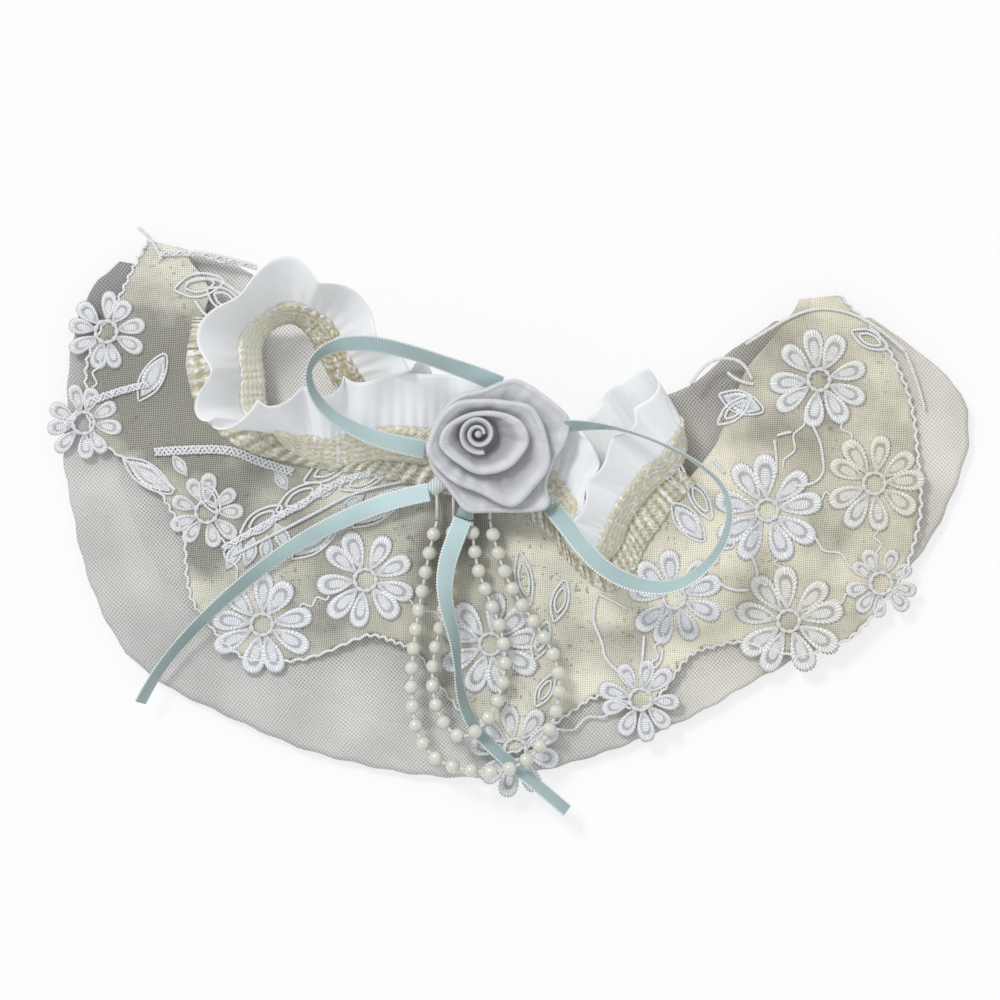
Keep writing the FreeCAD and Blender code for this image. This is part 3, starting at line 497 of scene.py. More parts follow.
def lace_top(x, y):
    """Height of the front net's upper face over a point, in millimetres."""
    angle, radius = fan_place(x, y)
    return net_height(angle, radius) + LACE_GAP


def back_top(x, y):
    """Height of the back net's upper face, in millimetres."""
    return BACK_NET_HEIGHT


# Meshes
class Cloth:
    """Points in millimetres, faces, pattern places and shades of a piece in the making."""

    def __init__(self):
        self.points = []
        self.faces = []
        self.places = []
        self.shades = []

    def add(self, points, faces, places=None, shades=None):
        first = len(self.points)
        self.points.extend(points)
        self.faces.extend([tuple(first + i for i in face) for face in faces])
        self.places.extend(places or [(p[0], p[1]) for p in points])
        self.shades.extend(shades or [0.5] * len(points))

    def grid(self, rows, places=None, shades=None, closed_rows=False, closed_columns=False):
        """A sheet through rows of points, whose ends may meet."""
        count, width = len(rows), len(rows[0])
        faces = []
        for i in range(count if closed_rows else count - 1):
            for j in range(width if closed_columns else width - 1):
                a, b = i * width, ((i + 1) % count) * width
                k = (j + 1) % width
                faces.append((a + j, a + k, b + k, b + j))
        flat = [p for row in rows for p in row]
        self.add(flat, faces, [p for row in places for p in row] if places else None,
                 [s for row in shades for s in row] if shades else None)

    def piece(self, name, material):
        mesh = bpy.data.meshes.new(name)
        mesh.from_pydata([tuple(c * MM for c in p) for p in self.points], [], self.faces)
        layer = mesh.uv_layers.new(name="UVMap")
        corners = np.zeros(len(mesh.loops), np.int32)
        mesh.loops.foreach_get("vertex_index", corners)
        places = np.array(self.places, np.float32)[corners]
        layer.data.foreach_set("uv", places.ravel())
        # shade: cream tint on the lace, painted light and shade on the ribbons, the casing and the
        # flounces
        shade = mesh.attributes.new("shade", "FLOAT", "POINT")
        shade.data.foreach_set("value", np.array(self.shades, np.float32))
        mesh.validate()
        mesh.materials.append(material)
        mesh.shade_smooth()
        made = bpy.data.objects.new(name, mesh)
        bpy.context.scene.collection.objects.link(made)
        return made


def only(piece):
    bpy.ops.object.select_all(action="DESELECT")
    piece.select_set(True)
    bpy.context.view_layer.objects.active = piece


def modify(piece, kind, **settings):
    """Adds a modifier to the piece and applies it."""
    only(piece)
    bpy.ops.object.modifier_add(type=kind)
    modifier = piece.modifiers[-1]
    for name, value in settings.items():
        setattr(modifier, name, value)
    bpy.ops.object.modifier_apply(modifier=modifier.name)


def thicken(piece, thickness):
    modify(piece, "SOLIDIFY", thickness=thickness, offset=0)


def place_piece(piece, body, slot, *nodes):
    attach(piece, body)
    if nodes:
        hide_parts(*nodes)


def route_curve(name, route):
    """A curve with one open spline that a route's points draw."""
    curve = bpy.data.curves.new(name, "CURVE")
    curve.dimensions = "3D"
    spline = curve.splines.new("NURBS")
    spline.points.add(len(route) - 1)
    for point, row in zip(spline.points, route):
        point.co = (row[0], row[1], row[2], 1)
    spline.order_u = 3
    spline.use_endpoint_u = True
    return curve


def route_points(route):
    """Points in metres along the route's spline."""
    curve = route_curve("route", route)
    curve.splines[0].resolution_u = 24
    holder = bpy.data.objects.new("route", curve)
    mesh = bpy.data.meshes.new_from_object(holder)
    points = np.array([v.co for v in mesh.vertices], float)
    bpy.data.objects.remove(holder)
    bpy.data.curves.remove(curve)
    bpy.data.meshes.remove(mesh)
    return points


def even_points(points, pitch, first=0.0):
    """Points at an even pitch along a line, their distances, and their shares of its own points."""
    runs = np.linalg.norm(np.diff(points, axis=0), axis=1)
    walked = np.concatenate([[0.0], np.cumsum(runs)])
    count = int((walked[-1] - 2 * first) / pitch + 1e-6) + 1
    spare = walked[-1] - 2 * first - (count - 1) * pitch
    wanted = first + spare / 2 + pitch * np.arange(count)
    even = np.stack([np.interp(wanted, walked, points[:, i]) for i in range(3)], axis=1)
    shares = np.interp(wanted, walked, np.linspace(0, 1, len(points)))
    return even, wanted, shares


# Materials
def new_material(name, roughness, **sockets):
    material = bpy.data.materials.new(name)
    material.use_nodes = True
    shader = material.node_tree.nodes["Principled BSDF"]
    shader.inputs["Roughness"].default_value = roughness
    for socket, value in sockets.items():
        shader.inputs[socket.replace("_", " ")].default_value = value
    return material, material.node_tree, shader


def calc(tree, operation, *values):
    node = tree.nodes.new("ShaderNodeMath")
    node.operation = operation
    for socket, value in zip(node.inputs, values):
        if isinstance(value, (int, float)):
            socket.default_value = value
        else:
            tree.links.new(value, socket)
    return node.outputs[0]


def plus(tree, first, second):
    return calc(tree, "ADD", first, second)


def times(tree, first, second):
    return calc(tree, "MULTIPLY", first, second)


def times_plus(tree, first, second, third):
    return calc(tree, "MULTIPLY_ADD", first, second, third)


def ramp(tree, value, low, high):
    """0 at low and below, 1 at high and above, smooth between. Low may be the larger one."""
    node = tree.nodes.new("ShaderNodeMapRange")
    node.interpolation_type = "SMOOTHSTEP"
    node.inputs["From Min"].default_value = min(low, high)
    node.inputs["From Max"].default_value = max(low, high)
    node.inputs["To Min"].default_value = 0.0 if low < high else 1.0
    node.inputs["To Max"].default_value = 1.0 if low < high else 0.0
    tree.links.new(value, node.inputs["Value"])
    return node.outputs["Result"]


def mix(tree, share, first, second):
    """A colour between two, each a plain colour or a socket."""
    node = tree.nodes.new("ShaderNodeMix")
    node.data_type = "RGBA"
    for socket, value in ((node.inputs[0], share), (node.inputs[6], first), (node.inputs[7], second)):
        if isinstance(value, bpy.types.NodeSocket):
            tree.links.new(value, socket)
        elif isinstance(value, float):
            socket.default_value = value
        else:
            socket.default_value = (value[0], value[1], value[2], 1)
    return node.outputs[2]


def scaled(colour_value, factor):
    return tuple(min(1.0, c * factor) for c in colour_value)


def coordinates(tree, kind, turn=0.0, waver=0.0):
    """The two first coordinates of the piece, turned about Z and wavering a little."""
    source = tree.nodes.new("ShaderNodeTexCoord").outputs[kind]
    if turn:
        mapping = tree.nodes.new("ShaderNodeMapping")
        mapping.inputs["Rotation"].default_value = (0, 0, math.radians(turn))
        tree.links.new(source, mapping.inputs["Vector"])
        source = mapping.outputs[0]
    split = tree.nodes.new("ShaderNodeSeparateXYZ")
    tree.links.new(source, split.inputs[0])
    first, second = split.outputs[0], split.outputs[1]
    if waver:
        bend = noise_value(tree, 140.0, 1.0)
        first = times_plus(tree, bend, waver, first)
        second = times_plus(tree, bend, -waver, second)
    return first, second


def noise_value(tree, scale, detail):
    node = tree.nodes.new("ShaderNodeTexNoise")
    node.inputs["Scale"].default_value = scale
    node.inputs["Detail"].default_value = detail
    tree.links.new(tree.nodes.new("ShaderNodeTexCoord").outputs["Object"], node.inputs["Vector"])
    return node.outputs[0]


def threads(tree, coordinate, pitch, width):
    """1 on threads at a pitch and 0 between them."""
    distance = calc(tree, "PINGPONG", coordinate, pitch / 2)
    return ramp(tree, distance, width * 0.7, width * 0.3)


def shade_value(tree):
    node = tree.nodes.new("ShaderNodeAttribute")
    node.attribute_name = "shade"
    return node.outputs["Fac"]


def add_bump(tree, shader, height, strength, distance):
    node = tree.nodes.new("ShaderNodeBump")
    node.inputs["Strength"].default_value = strength
    node.inputs["Distance"].default_value = distance
    tree.links.new(height, node.inputs["Height"])
    tree.links.new(node.outputs[0], shader.inputs["Normal"])


def multiplied(tree, first, second):
    node = tree.nodes.new("ShaderNodeMix")
    node.data_type = "RGBA"
    node.blend_type = "MULTIPLY"
    node.inputs[0].default_value = 1.0
    tree.links.new(first, node.inputs[6])
    tree.links.new(second, node.inputs[7])
    return node.outputs[2]


def net_material(name, thread, ground, cell, width, cover, turns, shadow_specks, patches, clouds):
    """See-through net: fine threads over a thin ground, clouded, with painted light and shade from the
    shade attribute, painted shadow specks, and creamier to the right.
    """
    material, tree, shader = new_material(name, 0.62, Sheen_Weight=0.15)
    masks = [threads(tree, coordinates(tree, "Object", turn, 0.0012)[0], cell, width) for turn in turns]
    mask = calc(tree, "MAXIMUM", masks[0], masks[1])
    cloud = noise_value(tree, 55.0, 5.0)
    # painted light and shade from the shade attribute, with random clouds
    tone = plus(tree, shade_value(tree), times_plus(tree, cloud, clouds, -clouds / 2))
    patch = ramp(tree, noise_value(tree, 24.0, 1.0), 0.52, 0.6)
    tone = times_plus(tree, patch, patches, tone)
    ground_colour = mix(tree, tone, scaled(ground, 0.3), scaled(ground, 1.5))
    thread_colour = mix(tree, tone, scaled(thread, 0.5), scaled(thread, 1.25))
    cloth_colour = mix(tree, mask, ground_colour, thread_colour)
    # painted shadow: near-black specks standing for the shade seen through the net's holes
    shadow_speck = ramp(tree, noise_value(tree, 760.0, 2.0), 0.6, 0.68)
    shadow_speck = times(tree, times(tree, shadow_speck, shadow_specks),
                 ramp(tree, noise_value(tree, 70.0, 2.0), 0.42, 0.6))
    cloth_colour = mix(tree, shadow_speck, cloth_colour, (0.10, 0.09, 0.07))
    side = ramp(tree, coordinates(tree, "Object")[0], -0.03, 0.09)
    tint = mix(tree, side, (1.0, 0.99, 0.975), (1.0, 0.96, 0.89))
    tree.links.new(multiplied(tree, cloth_colour, tint), shader.inputs["Base Color"])
    tree.links.new(times_plus(tree, mask, 1 - cover, cover), shader.inputs["Alpha"])
    add_bump(tree, shader, mask, 0.25, 0.00015)
    return material


def satin_material(name, base, pitch, edge):
    """Satin ribbon with a fine slanting weave and a corded selvedge at its free edge."""
    material, tree, shader = new_material(name, 0.36, Sheen_Weight=0.3, Specular_IOR_Level=0.55)
    along, across = coordinates(tree, "UV")
    slant = plus(tree, along, times(tree, across, 0.9))
    weave = threads(tree, slant, pitch, pitch * 0.5)
    cloud = noise_value(tree, 90.0, 2.0)
    tone = times_plus(tree, weave, 0.35, times(tree, cloud, 0.5))
    tree.links.new(mix(tree, tone, scaled(base, 0.90), scaled(base, 1.05)), shader.inputs["Base Color"])
    selvedge = ramp(tree, across, edge - 0.9, edge - 0.3)
    ticks = threads(tree, along, 0.7, 0.4)
    height = plus(tree, times(tree, weave, 0.4), times(tree, selvedge, ticks))
    add_bump(tree, shader, height, 0.35, 0.00012)
    return material


def ribbon_material(colours):
    """Pale satin ribbon: cross ribs, a face with painted highlights and painted shade, and white picot
    edges.
    """
    material, tree, shader = new_material("aqua_ribbon", 0.3, Sheen_Weight=0.25,
                                          Specular_IOR_Level=0.7)
    along, across = coordinates(tree, "UV")
    ribs = threads(tree, along, 0.55, 0.28)
    slant = threads(tree, plus(tree, along, times(tree, across, 0.7)), 0.9, 0.4)
    # painted highlights: random patches make the face up to half again brighter
    cloud = ramp(tree, noise_value(tree, 38.0, 1.0), 0.3, 0.7)
    tone = plus(tree, times(tree, ribs, 0.25), times(tree, slant, 0.25))
    tone = times_plus(tree, cloud, 0.6, tone)
    face = mix(tree, tone, scaled(colours.ribbon, 0.98), scaled(colours.ribbon, 1.5))
    # painted shade from the shade attribute, darker where the ribbon tilts away from the light
    face = multiplied(tree, face, mix(tree, shade_value(tree), (1.0, 1.0, 1.0), (0.33, 0.36, 0.36)))
    side = calc(tree, "ABSOLUTE", across)
    edge = times(tree, ramp(tree, side, 2.05, 2.3), threads(tree, along, 0.8, 0.5))
    tree.links.new(mix(tree, edge, face, (0.86, 0.90, 0.90)), shader.inputs["Base Color"])
    height = plus(tree, times(tree, ribs, 0.5), edge)
    add_bump(tree, shader, height, 0.4, 0.00012)
    return material


def lace_material(colours):
    """Embroidery thread: silky strands side by side, with painted shade between them and in the sunken
    middles.
    """
    material, tree, shader = new_material("lace_thread", 0.38, Sheen_Weight=0.4,
                                          Specular_IOR_Level=0.6)
    along, sunken = coordinates(tree, "UV")
    strand = threads(tree, along, 0.62, 0.4)
    cloud = noise_value(tree, 900.0, 3.0)
    lit = times_plus(tree, strand, 0.6, times(tree, cloud, 0.8))
    # painted shade: darker between the strands and in the petals' sunken middles
    lit = calc(tree, "SUBTRACT", lit, times(tree, sunken, 0.3))
    white = mix(tree, lit, colours.lace_shade, colours.lace)
    cream = mix(tree, lit, (0.58, 0.53, 0.41), (0.92, 0.89, 0.78))
    tree.links.new(mix(tree, shade_value(tree), white, cream), shader.inputs["Base Color"])
    height = plus(tree, strand, times(tree, cloud, 0.8))
    add_bump(tree, shader, height, 0.7, 0.0003)
    return material


def knit_material(name, colours, ribs, ground):
    """Shirred cream knit of the casing and of the gathered lace, with white knots, painted light and
    shade from the shade attribute, and painted shade in the grooves.
    """
    material, tree, shader = new_material(name, 0.6, Sheen_Weight=0.3)
    along, across = coordinates(tree, "UV")
    wave = calc(tree, "SINE", times(tree, along, 2.4))
    wavy = plus(tree, across, times(tree, wave, 0.22))
    rows = threads(tree, wavy, 1.9, 1.1)
    stitches = threads(tree, plus(tree, along, wavy), 1.1, 0.6)
    knots = ramp(tree, noise_value(tree, 650.0, 3.0), 0.5, 0.66)
    tone = times_plus(tree, rows, 0.4, times(tree, stitches, 0.3))
    tan = [part * ground * warmth for part, warmth in zip(colours.cream, (1.0, 0.96, 0.84))]
    cream = mix(tree, tone, tuple(tan), scaled(colours.cream, 1.08))
    # painted light and shade: tan where the casing is shaded, lighter where it is lit
    painted_light_and_shade = mix(tree, shade_value(tree), (0.62, 0.57, 0.45), (1.2, 1.22, 1.24))
    cream = multiplied(tree, cream, painted_light_and_shade)
    rib = threads(tree, along, 3.4, 1.9)
    knots = times(tree, knots, times_plus(tree, rib, ribs, 1 - ribs))
    # painted shade: darker and warmer in the grooves between the ribs
    painted_groove_shade = mix(tree, rib, scaled((1.0, 0.97, 0.86), 1 - ribs * 0.4), (1.0, 1.0, 1.0))
    cream = multiplied(tree, cream, painted_groove_shade)
    tree.links.new(mix(tree, knots, cream, (0.92, 0.93, 0.92)), shader.inputs["Base Color"])
    height = plus(tree, plus(tree, rows, stitches), knots)
    add_bump(tree, shader, height, 0.4, 0.0003)
    return material


def organza_material(colours):
    """Sheer organza, more solid at the folded lip, with shimmering threads."""
    material, tree, shader = new_material("organza", 0.4, Sheen_Weight=0.5, Specular_IOR_Level=0.6)
    along, across = coordinates(tree, "UV")
    strands = threads(tree, along, 0.5, 0.26)
    lip = ramp(tree, across, 0.55, 1.0)
    cloud = noise_value(tree, 260.0, 3.0)
    tone = times_plus(tree, strands, 0.3, times(tree, cloud, 0.35))
    tone = times_plus(tree, lip, 0.45, tone)
    tree.links.new(mix(tree, tone, scaled(colours.organza, 0.85), scaled(colours.organza, 1.45)),
                   shader.inputs["Base Color"])
    cover = times_plus(tree, lip, 0.34, times_plus(tree, strands, 0.12, 0.4))
    tree.links.new(cover, shader.inputs["Alpha"])
    add_bump(tree, shader, strands, 0.3, 0.00015)
    return material


def pearl_material(colours):
    """Glossy bead under a clear coat, a little cloudy."""
    material, tree, shader = new_material("pearl", 0.16, Coat_Weight=0.6, Coat_Roughness=0.06,
                                          Specular_IOR_Level=0.6, Subsurface_Weight=0.25,
                                          Subsurface_Scale=0.001)
    cloud = noise_value(tree, 320.0, 2.0)
    body = mix(tree, cloud, scaled(colours.pearl, 0.8), scaled(colours.pearl, 1.1))
    tree.links.new(body, shader.inputs["Base Color"])
    return material


def fibre_material(name, base, roughness, scale, depth):
    """Plain fibres: felt, elastic and sewing thread."""
    material, tree, shader = new_material(name, roughness, Sheen_Weight=0.2)
    cloud = noise_value(tree, scale, 4.0)
    tree.links.new(mix(tree, cloud, scaled(base, 0.75), scaled(base, 1.15)), shader.inputs["Base Color"])
    add_bump(tree, shader, cloud, 0.5, depth)
    return material


MATERIALS = {}


def make_materials(sizes, colours):
    cell, net = sizes.tulle_cell, sizes.net_cell
    MATERIALS["tulle"] = net_material("tulle", colours.tulle_thread, colours.tulle_ground, cell=cell,
                                      width=cell * 0.35, cover=0.66, turns=(38, -47), shadow_specks=0.0,
                                      patches=0.05, clouds=0.5)
    MATERIALS["net"] = net_material("lace_net", colours.net_thread, colours.net_ground, cell=net,
                                    width=net * 0.45, cover=0.76, turns=(4, 84), shadow_specks=0.5,
                                    patches=0.3, clouds=2.2)
    MATERIALS["satin"] = satin_material("satin", colours.satin, pitch=0.6, edge=16.0)
    MATERIALS["ribbon"] = ribbon_material(colours)
    MATERIALS["lace"] = lace_material(colours)
    MATERIALS["knit"] = knit_material("cream_knit", colours, ribs=0.0, ground=0.72)
    MATERIALS["gathered"] = knit_material("gathered_lace", colours, ribs=0.7, ground=0.62)
    MATERIALS["organza"] = organza_material(colours)
    MATERIALS["pearl"] = pearl_material(colours)
    MATERIALS["elastic"] = fibre_material("elastic", (0.72, 0.70, 0.62), roughness=0.7, scale=1500.0,
                                          depth=0.0002)
    MATERIALS["felt"] = fibre_material("felt", (0.58, 0.58, 0.57), roughness=0.9, scale=2200.0,
                                       depth=0.0003)
    MATERIALS["bead_thread"] = fibre_material("bead_thread", (0.74, 0.73, 0.68), roughness=0.6,
                                              scale=3000.0, depth=0.0001)


# Ribbons and pearls
def ribbon_sheet(route, width, painted_shade):
    """A flat ribbon with picot edges along a route's spline, its width turned by the tilts, and its
    painted shade darker where it tilts away from the light.
    """
    line, distances, shares = even_points(route_points(route), RIBBON_PITCH * MM)
    tilts = [row[3] for row in route]
    turn = np.radians(np.interp(shares * (len(route) - 1), range(len(route)), tilts))
    plain, shade_by_tilt = painted_shade
    cloth = Cloth()
    rows = []
    places = []
    shades = []
    for i, point in enumerate(line):
        along = Vector(line[min(i + 3, len(line) - 1)] - line[max(i - 3, 0)]).normalized()
        level = along.cross(Vector((0, 0, 1))).normalized()
        rise = level.cross(along)
        across = level * math.cos(turn[i]) + rise * math.sin(turn[i])
        face = along.cross(across)
        picot = PICOT_DEPTH * math.cos(distances[i] / MM * 2 * math.pi / PICOT_PITCH)
        row = []
        for column in RIBBON_COLUMNS:
            half = width / MM / 2 + (picot if abs(column) == 1 else 0)
            cup = RIBBON_CUP * (column * column - 0.4)
            row.append(Vector(point) / MM + across * (half * column) + face * cup)
        rows.append(row)
        places.append([(distances[i] / MM, column * width / MM / 2) for column in RIBBON_COLUMNS])
        # painted shade: the steeper the ribbon tilts, the darker it is painted
        painted_row_shade = plain + shade_by_tilt * min(1, abs(turn[i]) / math.radians(FULL_SHADE_TILT)) ** 1.2
        shades.append([painted_row_shade] * len(RIBBON_COLUMNS))
    cloth.grid(rows, places, shades)
    return cloth, line


def make_ribbon(name, route, body, node, width, painted_shade):
    """A ribbon of the bow. Its painted shade is a plain share and a share by tilt."""
    cloth, line = ribbon_sheet(route, width, painted_shade)
    piece = cloth.piece(name, MATERIALS["ribbon"])
    thicken(piece, RIBBON_THICKNESS)
    place_piece(piece, body, "aqua_ribbon", node)


def bead_template(diameter):
    """A bead with a bore: a sphere whose two ends are opened and joined by a tunnel."""
    bpy.ops.object.select_all(action="DESELECT")
    bpy.ops.mesh.primitive_uv_sphere_add(segments=BEAD_SEGMENTS, ring_count=BEAD_RINGS,
                                         radius=diameter / 2)
    bead = bpy.context.object
    bpy.ops.object.mode_set(mode="EDIT")
    bpy.ops.mesh.select_mode(type="VERT")
    bpy.ops.mesh.select_all(action="DESELECT")
    bpy.ops.object.mode_set(mode="OBJECT")
    for vertex in bead.data.vertices:
        vertex.select = abs(vertex.co.z) > diameter * BEAD_BORE_SHARE
    bpy.ops.object.mode_set(mode="EDIT")
    bpy.ops.mesh.delete(type="VERT")
    bpy.ops.mesh.select_all(action="DESELECT")
    bpy.ops.mesh.select_non_manifold()
    bpy.ops.mesh.bridge_edge_loops()
    bpy.ops.mesh.select_all(action="SELECT")
    bpy.ops.mesh.normals_make_consistent(inside=False)
    bpy.ops.object.mode_set(mode="OBJECT")
    points = np.array([v.co for v in bead.data.vertices], float)
    faces = [tuple(face.vertices) for face in bead.data.polygons]
    bpy.data.meshes.remove(bead.data)
    return points, faces


def make_strand(name, route, sizes):
    """A thread with its beads, each turned to the thread."""
    points, faces = bead_template(sizes.pearl_diameter)
    beads = even_points(route_points(route), sizes.pearl_pitch, sizes.pearl_diameter / 2)[0]
    cloth = Cloth()
    for i, bead in enumerate(beads):
        ahead = beads[min(i + 1, len(beads) - 1)] - beads[max(i - 1, 0)]
        turned = Vector((0, 0, 1)).rotation_difference(Vector(ahead)).to_matrix()
        moved = points @ np.array(turned).T + bead
        cloth.add([tuple(p / MM) for p in moved], faces)
    pearls = cloth.piece("pearls_" + name, MATERIALS["pearl"])
    place_piece(pearls, "pearl_drop", "pearl", "strand_pearls_" + name)
    curve = route_curve("thread_" + name, route)
    curve.bevel_depth = sizes.thread_diameter / 2
    curve.bevel_resolution = 3
    curve.use_fill_caps = True
    curve.materials.append(MATERIALS["bead_thread"])
    thread = bpy.data.objects.new("thread_" + name, curve)
    bpy.context.scene.collection.objects.link(thread)
    place_piece(thread, "pearl_drop", "bead_thread", "strand_thread_" + name)


# Band, ruffle and headings
def walk_band(steps_to_station):
    """Place, distance walked and the band's frame at each step round its loop."""
    steps = len(BAND_STATIONS) * steps_to_station
    walked = 0.0
    before = band_frame(0)[0]
    for step in range(steps):
        place = len(BAND_STATIONS) * step / steps
        middle, across, face, along = band_frame(place)
        walked += (middle - before).length
        before = middle
        yield place, walked, middle, across, face, along


def make_casing(elastic):
    """Knit folded over the elastic, gathered into small ripples."""
    cloth = Cloth()
    rows = []
    places = []
    shades = []
    for place, walked, middle, across, face, along in walk_band(30):
        phase = walked * 2 * math.pi / RIPPLE_PITCH
        wave = RIPPLE_WAVE * math.sin(phase)
        row = []
        for up, out in CASING_PROFILE:
            ripple = RIPPLE_DEPTH * math.sin(phase + 1.3 * math.sin(walked)) * (abs(up) < CASING_TOP)
            side = 1 if out > 0 else -1
            row.append(middle + across * (up + wave) + face * (out + side * ripple))
        rows.append(row)
        places.append([(walked, up + (CASING_BACK_OFFSET if out > 0 else 0))
                       for up, out in CASING_PROFILE])
        # painted light and shade of the casing at this place
        shades.append([float(np.interp(place, *zip(*CASING_SHADES)))] * len(CASING_PROFILE))
    cloth.grid(rows, places, shades, closed_rows=True)
    casing = cloth.piece("casing", MATERIALS["knit"])
    thicken(casing, CASING_THICKNESS)
    place_piece(casing, BODY, "satin", "band_casing")


def make_elastic():
    cloth = Cloth()
    rows = []
    places = []
    for place, walked, middle, across, face, along in walk_band(12):
        rows.append([middle + across * (ELASTIC_WIDTH / 2 * c) for c in ELASTIC_COLUMNS])
        places.append([(walked, ELASTIC_WIDTH / 2 * c) for c in ELASTIC_COLUMNS])
    cloth.grid(rows, places, closed_rows=True)
    elastic = cloth.piece("elastic_band", MATERIALS["elastic"])
    thicken(elastic, ELASTIC_THICKNESS)
    place_piece(elastic, BODY, "elastic", "elastic_core")
    return elastic


def fold_phase(place):
    """Angle of the ruffle's fold, a full turn from crest to crest, evened out over half a station."""
    loop = len(BAND_STATIONS)
    count = len(RUFFLE_CRESTS)
    crests = [crest + turn * loop for turn in (-1, 0, 1) for crest in RUFFLE_CRESTS]
    near = np.interp([place - 0.3, place - 0.1, place + 0.1, place + 0.3], crests,
                     range(-count, 2 * count))
    return 2 * math.pi * float(near.mean()) + math.pi / 2


def make_ruffle(sizes):
    """One ribbon gathered along its lower edge, its free edge in soft round folds."""
    cloth = Cloth()
    rows = []
    places = []
    width = sizes.ruffle_width / MM
    columns = [i / RUFFLE_COLUMNS for i in range(RUFFLE_COLUMNS + 1)]
    edge_walked = 0.0
    before = None
    for place, walked, middle, across, face, along in walk_band(28):
        lean = band_value(2, place)
        phase = fold_phase(place)
        size = FOLD_SIZE * band_value(3, place) * (0.9 + 0.2 * math.sin(place * 2.9))
        row = []
        for share in columns:
            fold = -size * (0.15 + 0.85 * share ** 1.2) * math.sin(phase)
            overhang = -FOLD_OVERHANG * size * share * math.cos(phase)
            curl = -RUFFLE_CURL * share ** 4
            start = middle + across * (BAND_WIDTH / 2 - RUFFLE_OVERLAP + RUFFLE_OVERLAP * share)
            crinkle = CRINKLE_SIZE * (1 - share) * math.sin(phase * 5)
            row.append(start + lean * (width * share + curl) + face * (fold + crinkle)
                       + along * overhang)
        edge_walked += (row[-1] - before).length if before else 0
        before = row[-1]
        rows.append(row)
        places.append([(edge_walked, width * share) for share in columns])
    cloth.grid(rows, places, closed_rows=True)
    ruffle = cloth.piece("ruffle", MATERIALS["satin"])
    thicken(ruffle, RUFFLE_THICKNESS)
    place_piece(ruffle, BODY, "satin", "satin_ruffle")


def make_heading(name, stations, node, foot_of):
    """Lace gathered in upright folds, from the band's lower edge to the flounce's top."""
    cloth = Cloth()
    rows = []
    places = []
    first, last = stations
    steps = (last - first) * 16
    for step in range(steps + 1):
        place = first + (last - first) * step / steps
        middle, across, face, along = band_frame(place)
        upper, lower = foot_of(middle, across)
        phase = place * 2 * math.pi * HEADING_FOLDS
        gather = math.sin(phase + math.sin(place * 5.0))
        row = []
        for i in range(HEADING_COLUMNS + 1):
            share = i / HEADING_COLUMNS
            swell = math.sin(math.pi * share)
            rise = HEADING_FOLD * gather * (0.4 + 0.6 * swell) + HEADING_SWELL * swell
            row.append(upper.lerp(lower, share) + Vector((0, 0, rise))
                       + along * (HEADING_SWAY * math.cos(phase) * share))
        rows.append(row)
        places.append([(place * 14.0, 8.0 * i / HEADING_COLUMNS) for i in range(HEADING_COLUMNS + 1)])
    cloth.grid(rows, places)
    heading = cloth.piece(name, MATERIALS["gathered"])
    thicken(heading, HEADING_THICKNESS)
    place_piece(heading, BODY, "lace", node)


def front_foot(middle, across):
    """Ends of the front heading's folds: under the band's edge and on the net."""
    upper = middle - across * (BAND_WIDTH / 2 - 0.4)
    angle = fan_place(upper.x, upper.y)[0]
    inner = edge_radius(FLOUNCE_TOP, angle)
    lower = on_fan(angle, inner + 2.5, net_height(angle, inner) + 0.6)
    return upper, lower


def back_foot(middle, across):
    """Ends of the back heading's folds: inside the band's edge and just over the table."""
    upper = middle - across * (BAND_WIDTH / 2 - 1.0)
    lower = Vector((upper.x, upper.y, 0.7))
    upper.z = max(upper.z - 0.5, 2.6)
    return upper, lower


# Flounces
def spot_shade(x, y, spots):
    """Shade of a cloth, from 0 dark to 1 light: a random tone, with broad places of painted light and
    painted shade.
    """
    shade = 0.5 + 0.16 * noise.noise(Vector((x * 0.05, y * 0.05, 0)))
    for px, py, reach, amount in spots:
        shade += amount * math.exp(-((x - px) ** 2 + (y - py) ** 2) / reach ** 2)
    return shade


# Painted light and painted shade on each cloth: x, y, reach and amount
TULLE_SPOTS = [(-113, 62, 16, -0.9), (-105, 30, 16, -0.15), (-60, -50, 40, -0.05), (115, 25, 22, 0.3),
               (-20, -68, 30, 0.2), (100, -10, 16, 0.35), (60, -55, 20, 0.2)]
NET_SPOTS = [(-92, 40, 20, -0.9), (-88, 22, 14, -0.8), (-86, -13, 9, -0.9), (-70, 0, 14, -0.4),
             (-45, -8, 10, -0.35), (-15, -10, 12, -0.4), (20, -20, 16, -0.3), (50, 0, 12, -0.3),
             (90, 15, 34, 0.15), (70, 20, 14, -0.15), (92, -12, 10, 0.3)]
BACK_SPOTS = [(-60, 40, 22, 0.8), (60, 45, 20, -0.3), (-115, 60, 18, -0.9)]


def make_flounce(name, node, edges, angles, height, lift, material, spots, edge_wave):
    """A fan-shaped cloth between two edges, in soft folds, at a lift over a height."""
    top, hem = edges
    cloth = Cloth()
    rows = []
    shades = []
    for angle in range(angles[0], angles[1] + 1):
        near = edge_radius(top, angle)
        far = edge_radius(hem, angle) + edge_wave * math.sin(angle * 1.35)
        row = []
        for i in range(FLOUNCE_COLUMNS + 1):
            radius = near + (far - near) * i / FLOUNCE_COLUMNS
            point = on_fan(angle, radius, 0)
            ripple = 0.3 * noise.noise(Vector((point.x * 0.12, point.y * 0.12, 3.0)))
            point.z = height(angle, radius) + lift + ripple
            row.append(point)
        rows.append(row)
        shades.append([spot_shade(p.x, p.y, spots) for p in row])
    cloth.grid(rows, None, shades)
    flounce = cloth.piece(name, MATERIALS[material])
    thicken(flounce, FLOUNCE_THICKNESS)
    place_piece(flounce, BODY, material, node)


# Lace motifs
def petal_width(along):
    """Width of a petal against its length, from its foot at -1 to its tip at 1."""
    return 0.52 + 0.30 * along - 0.12 * along ** 2


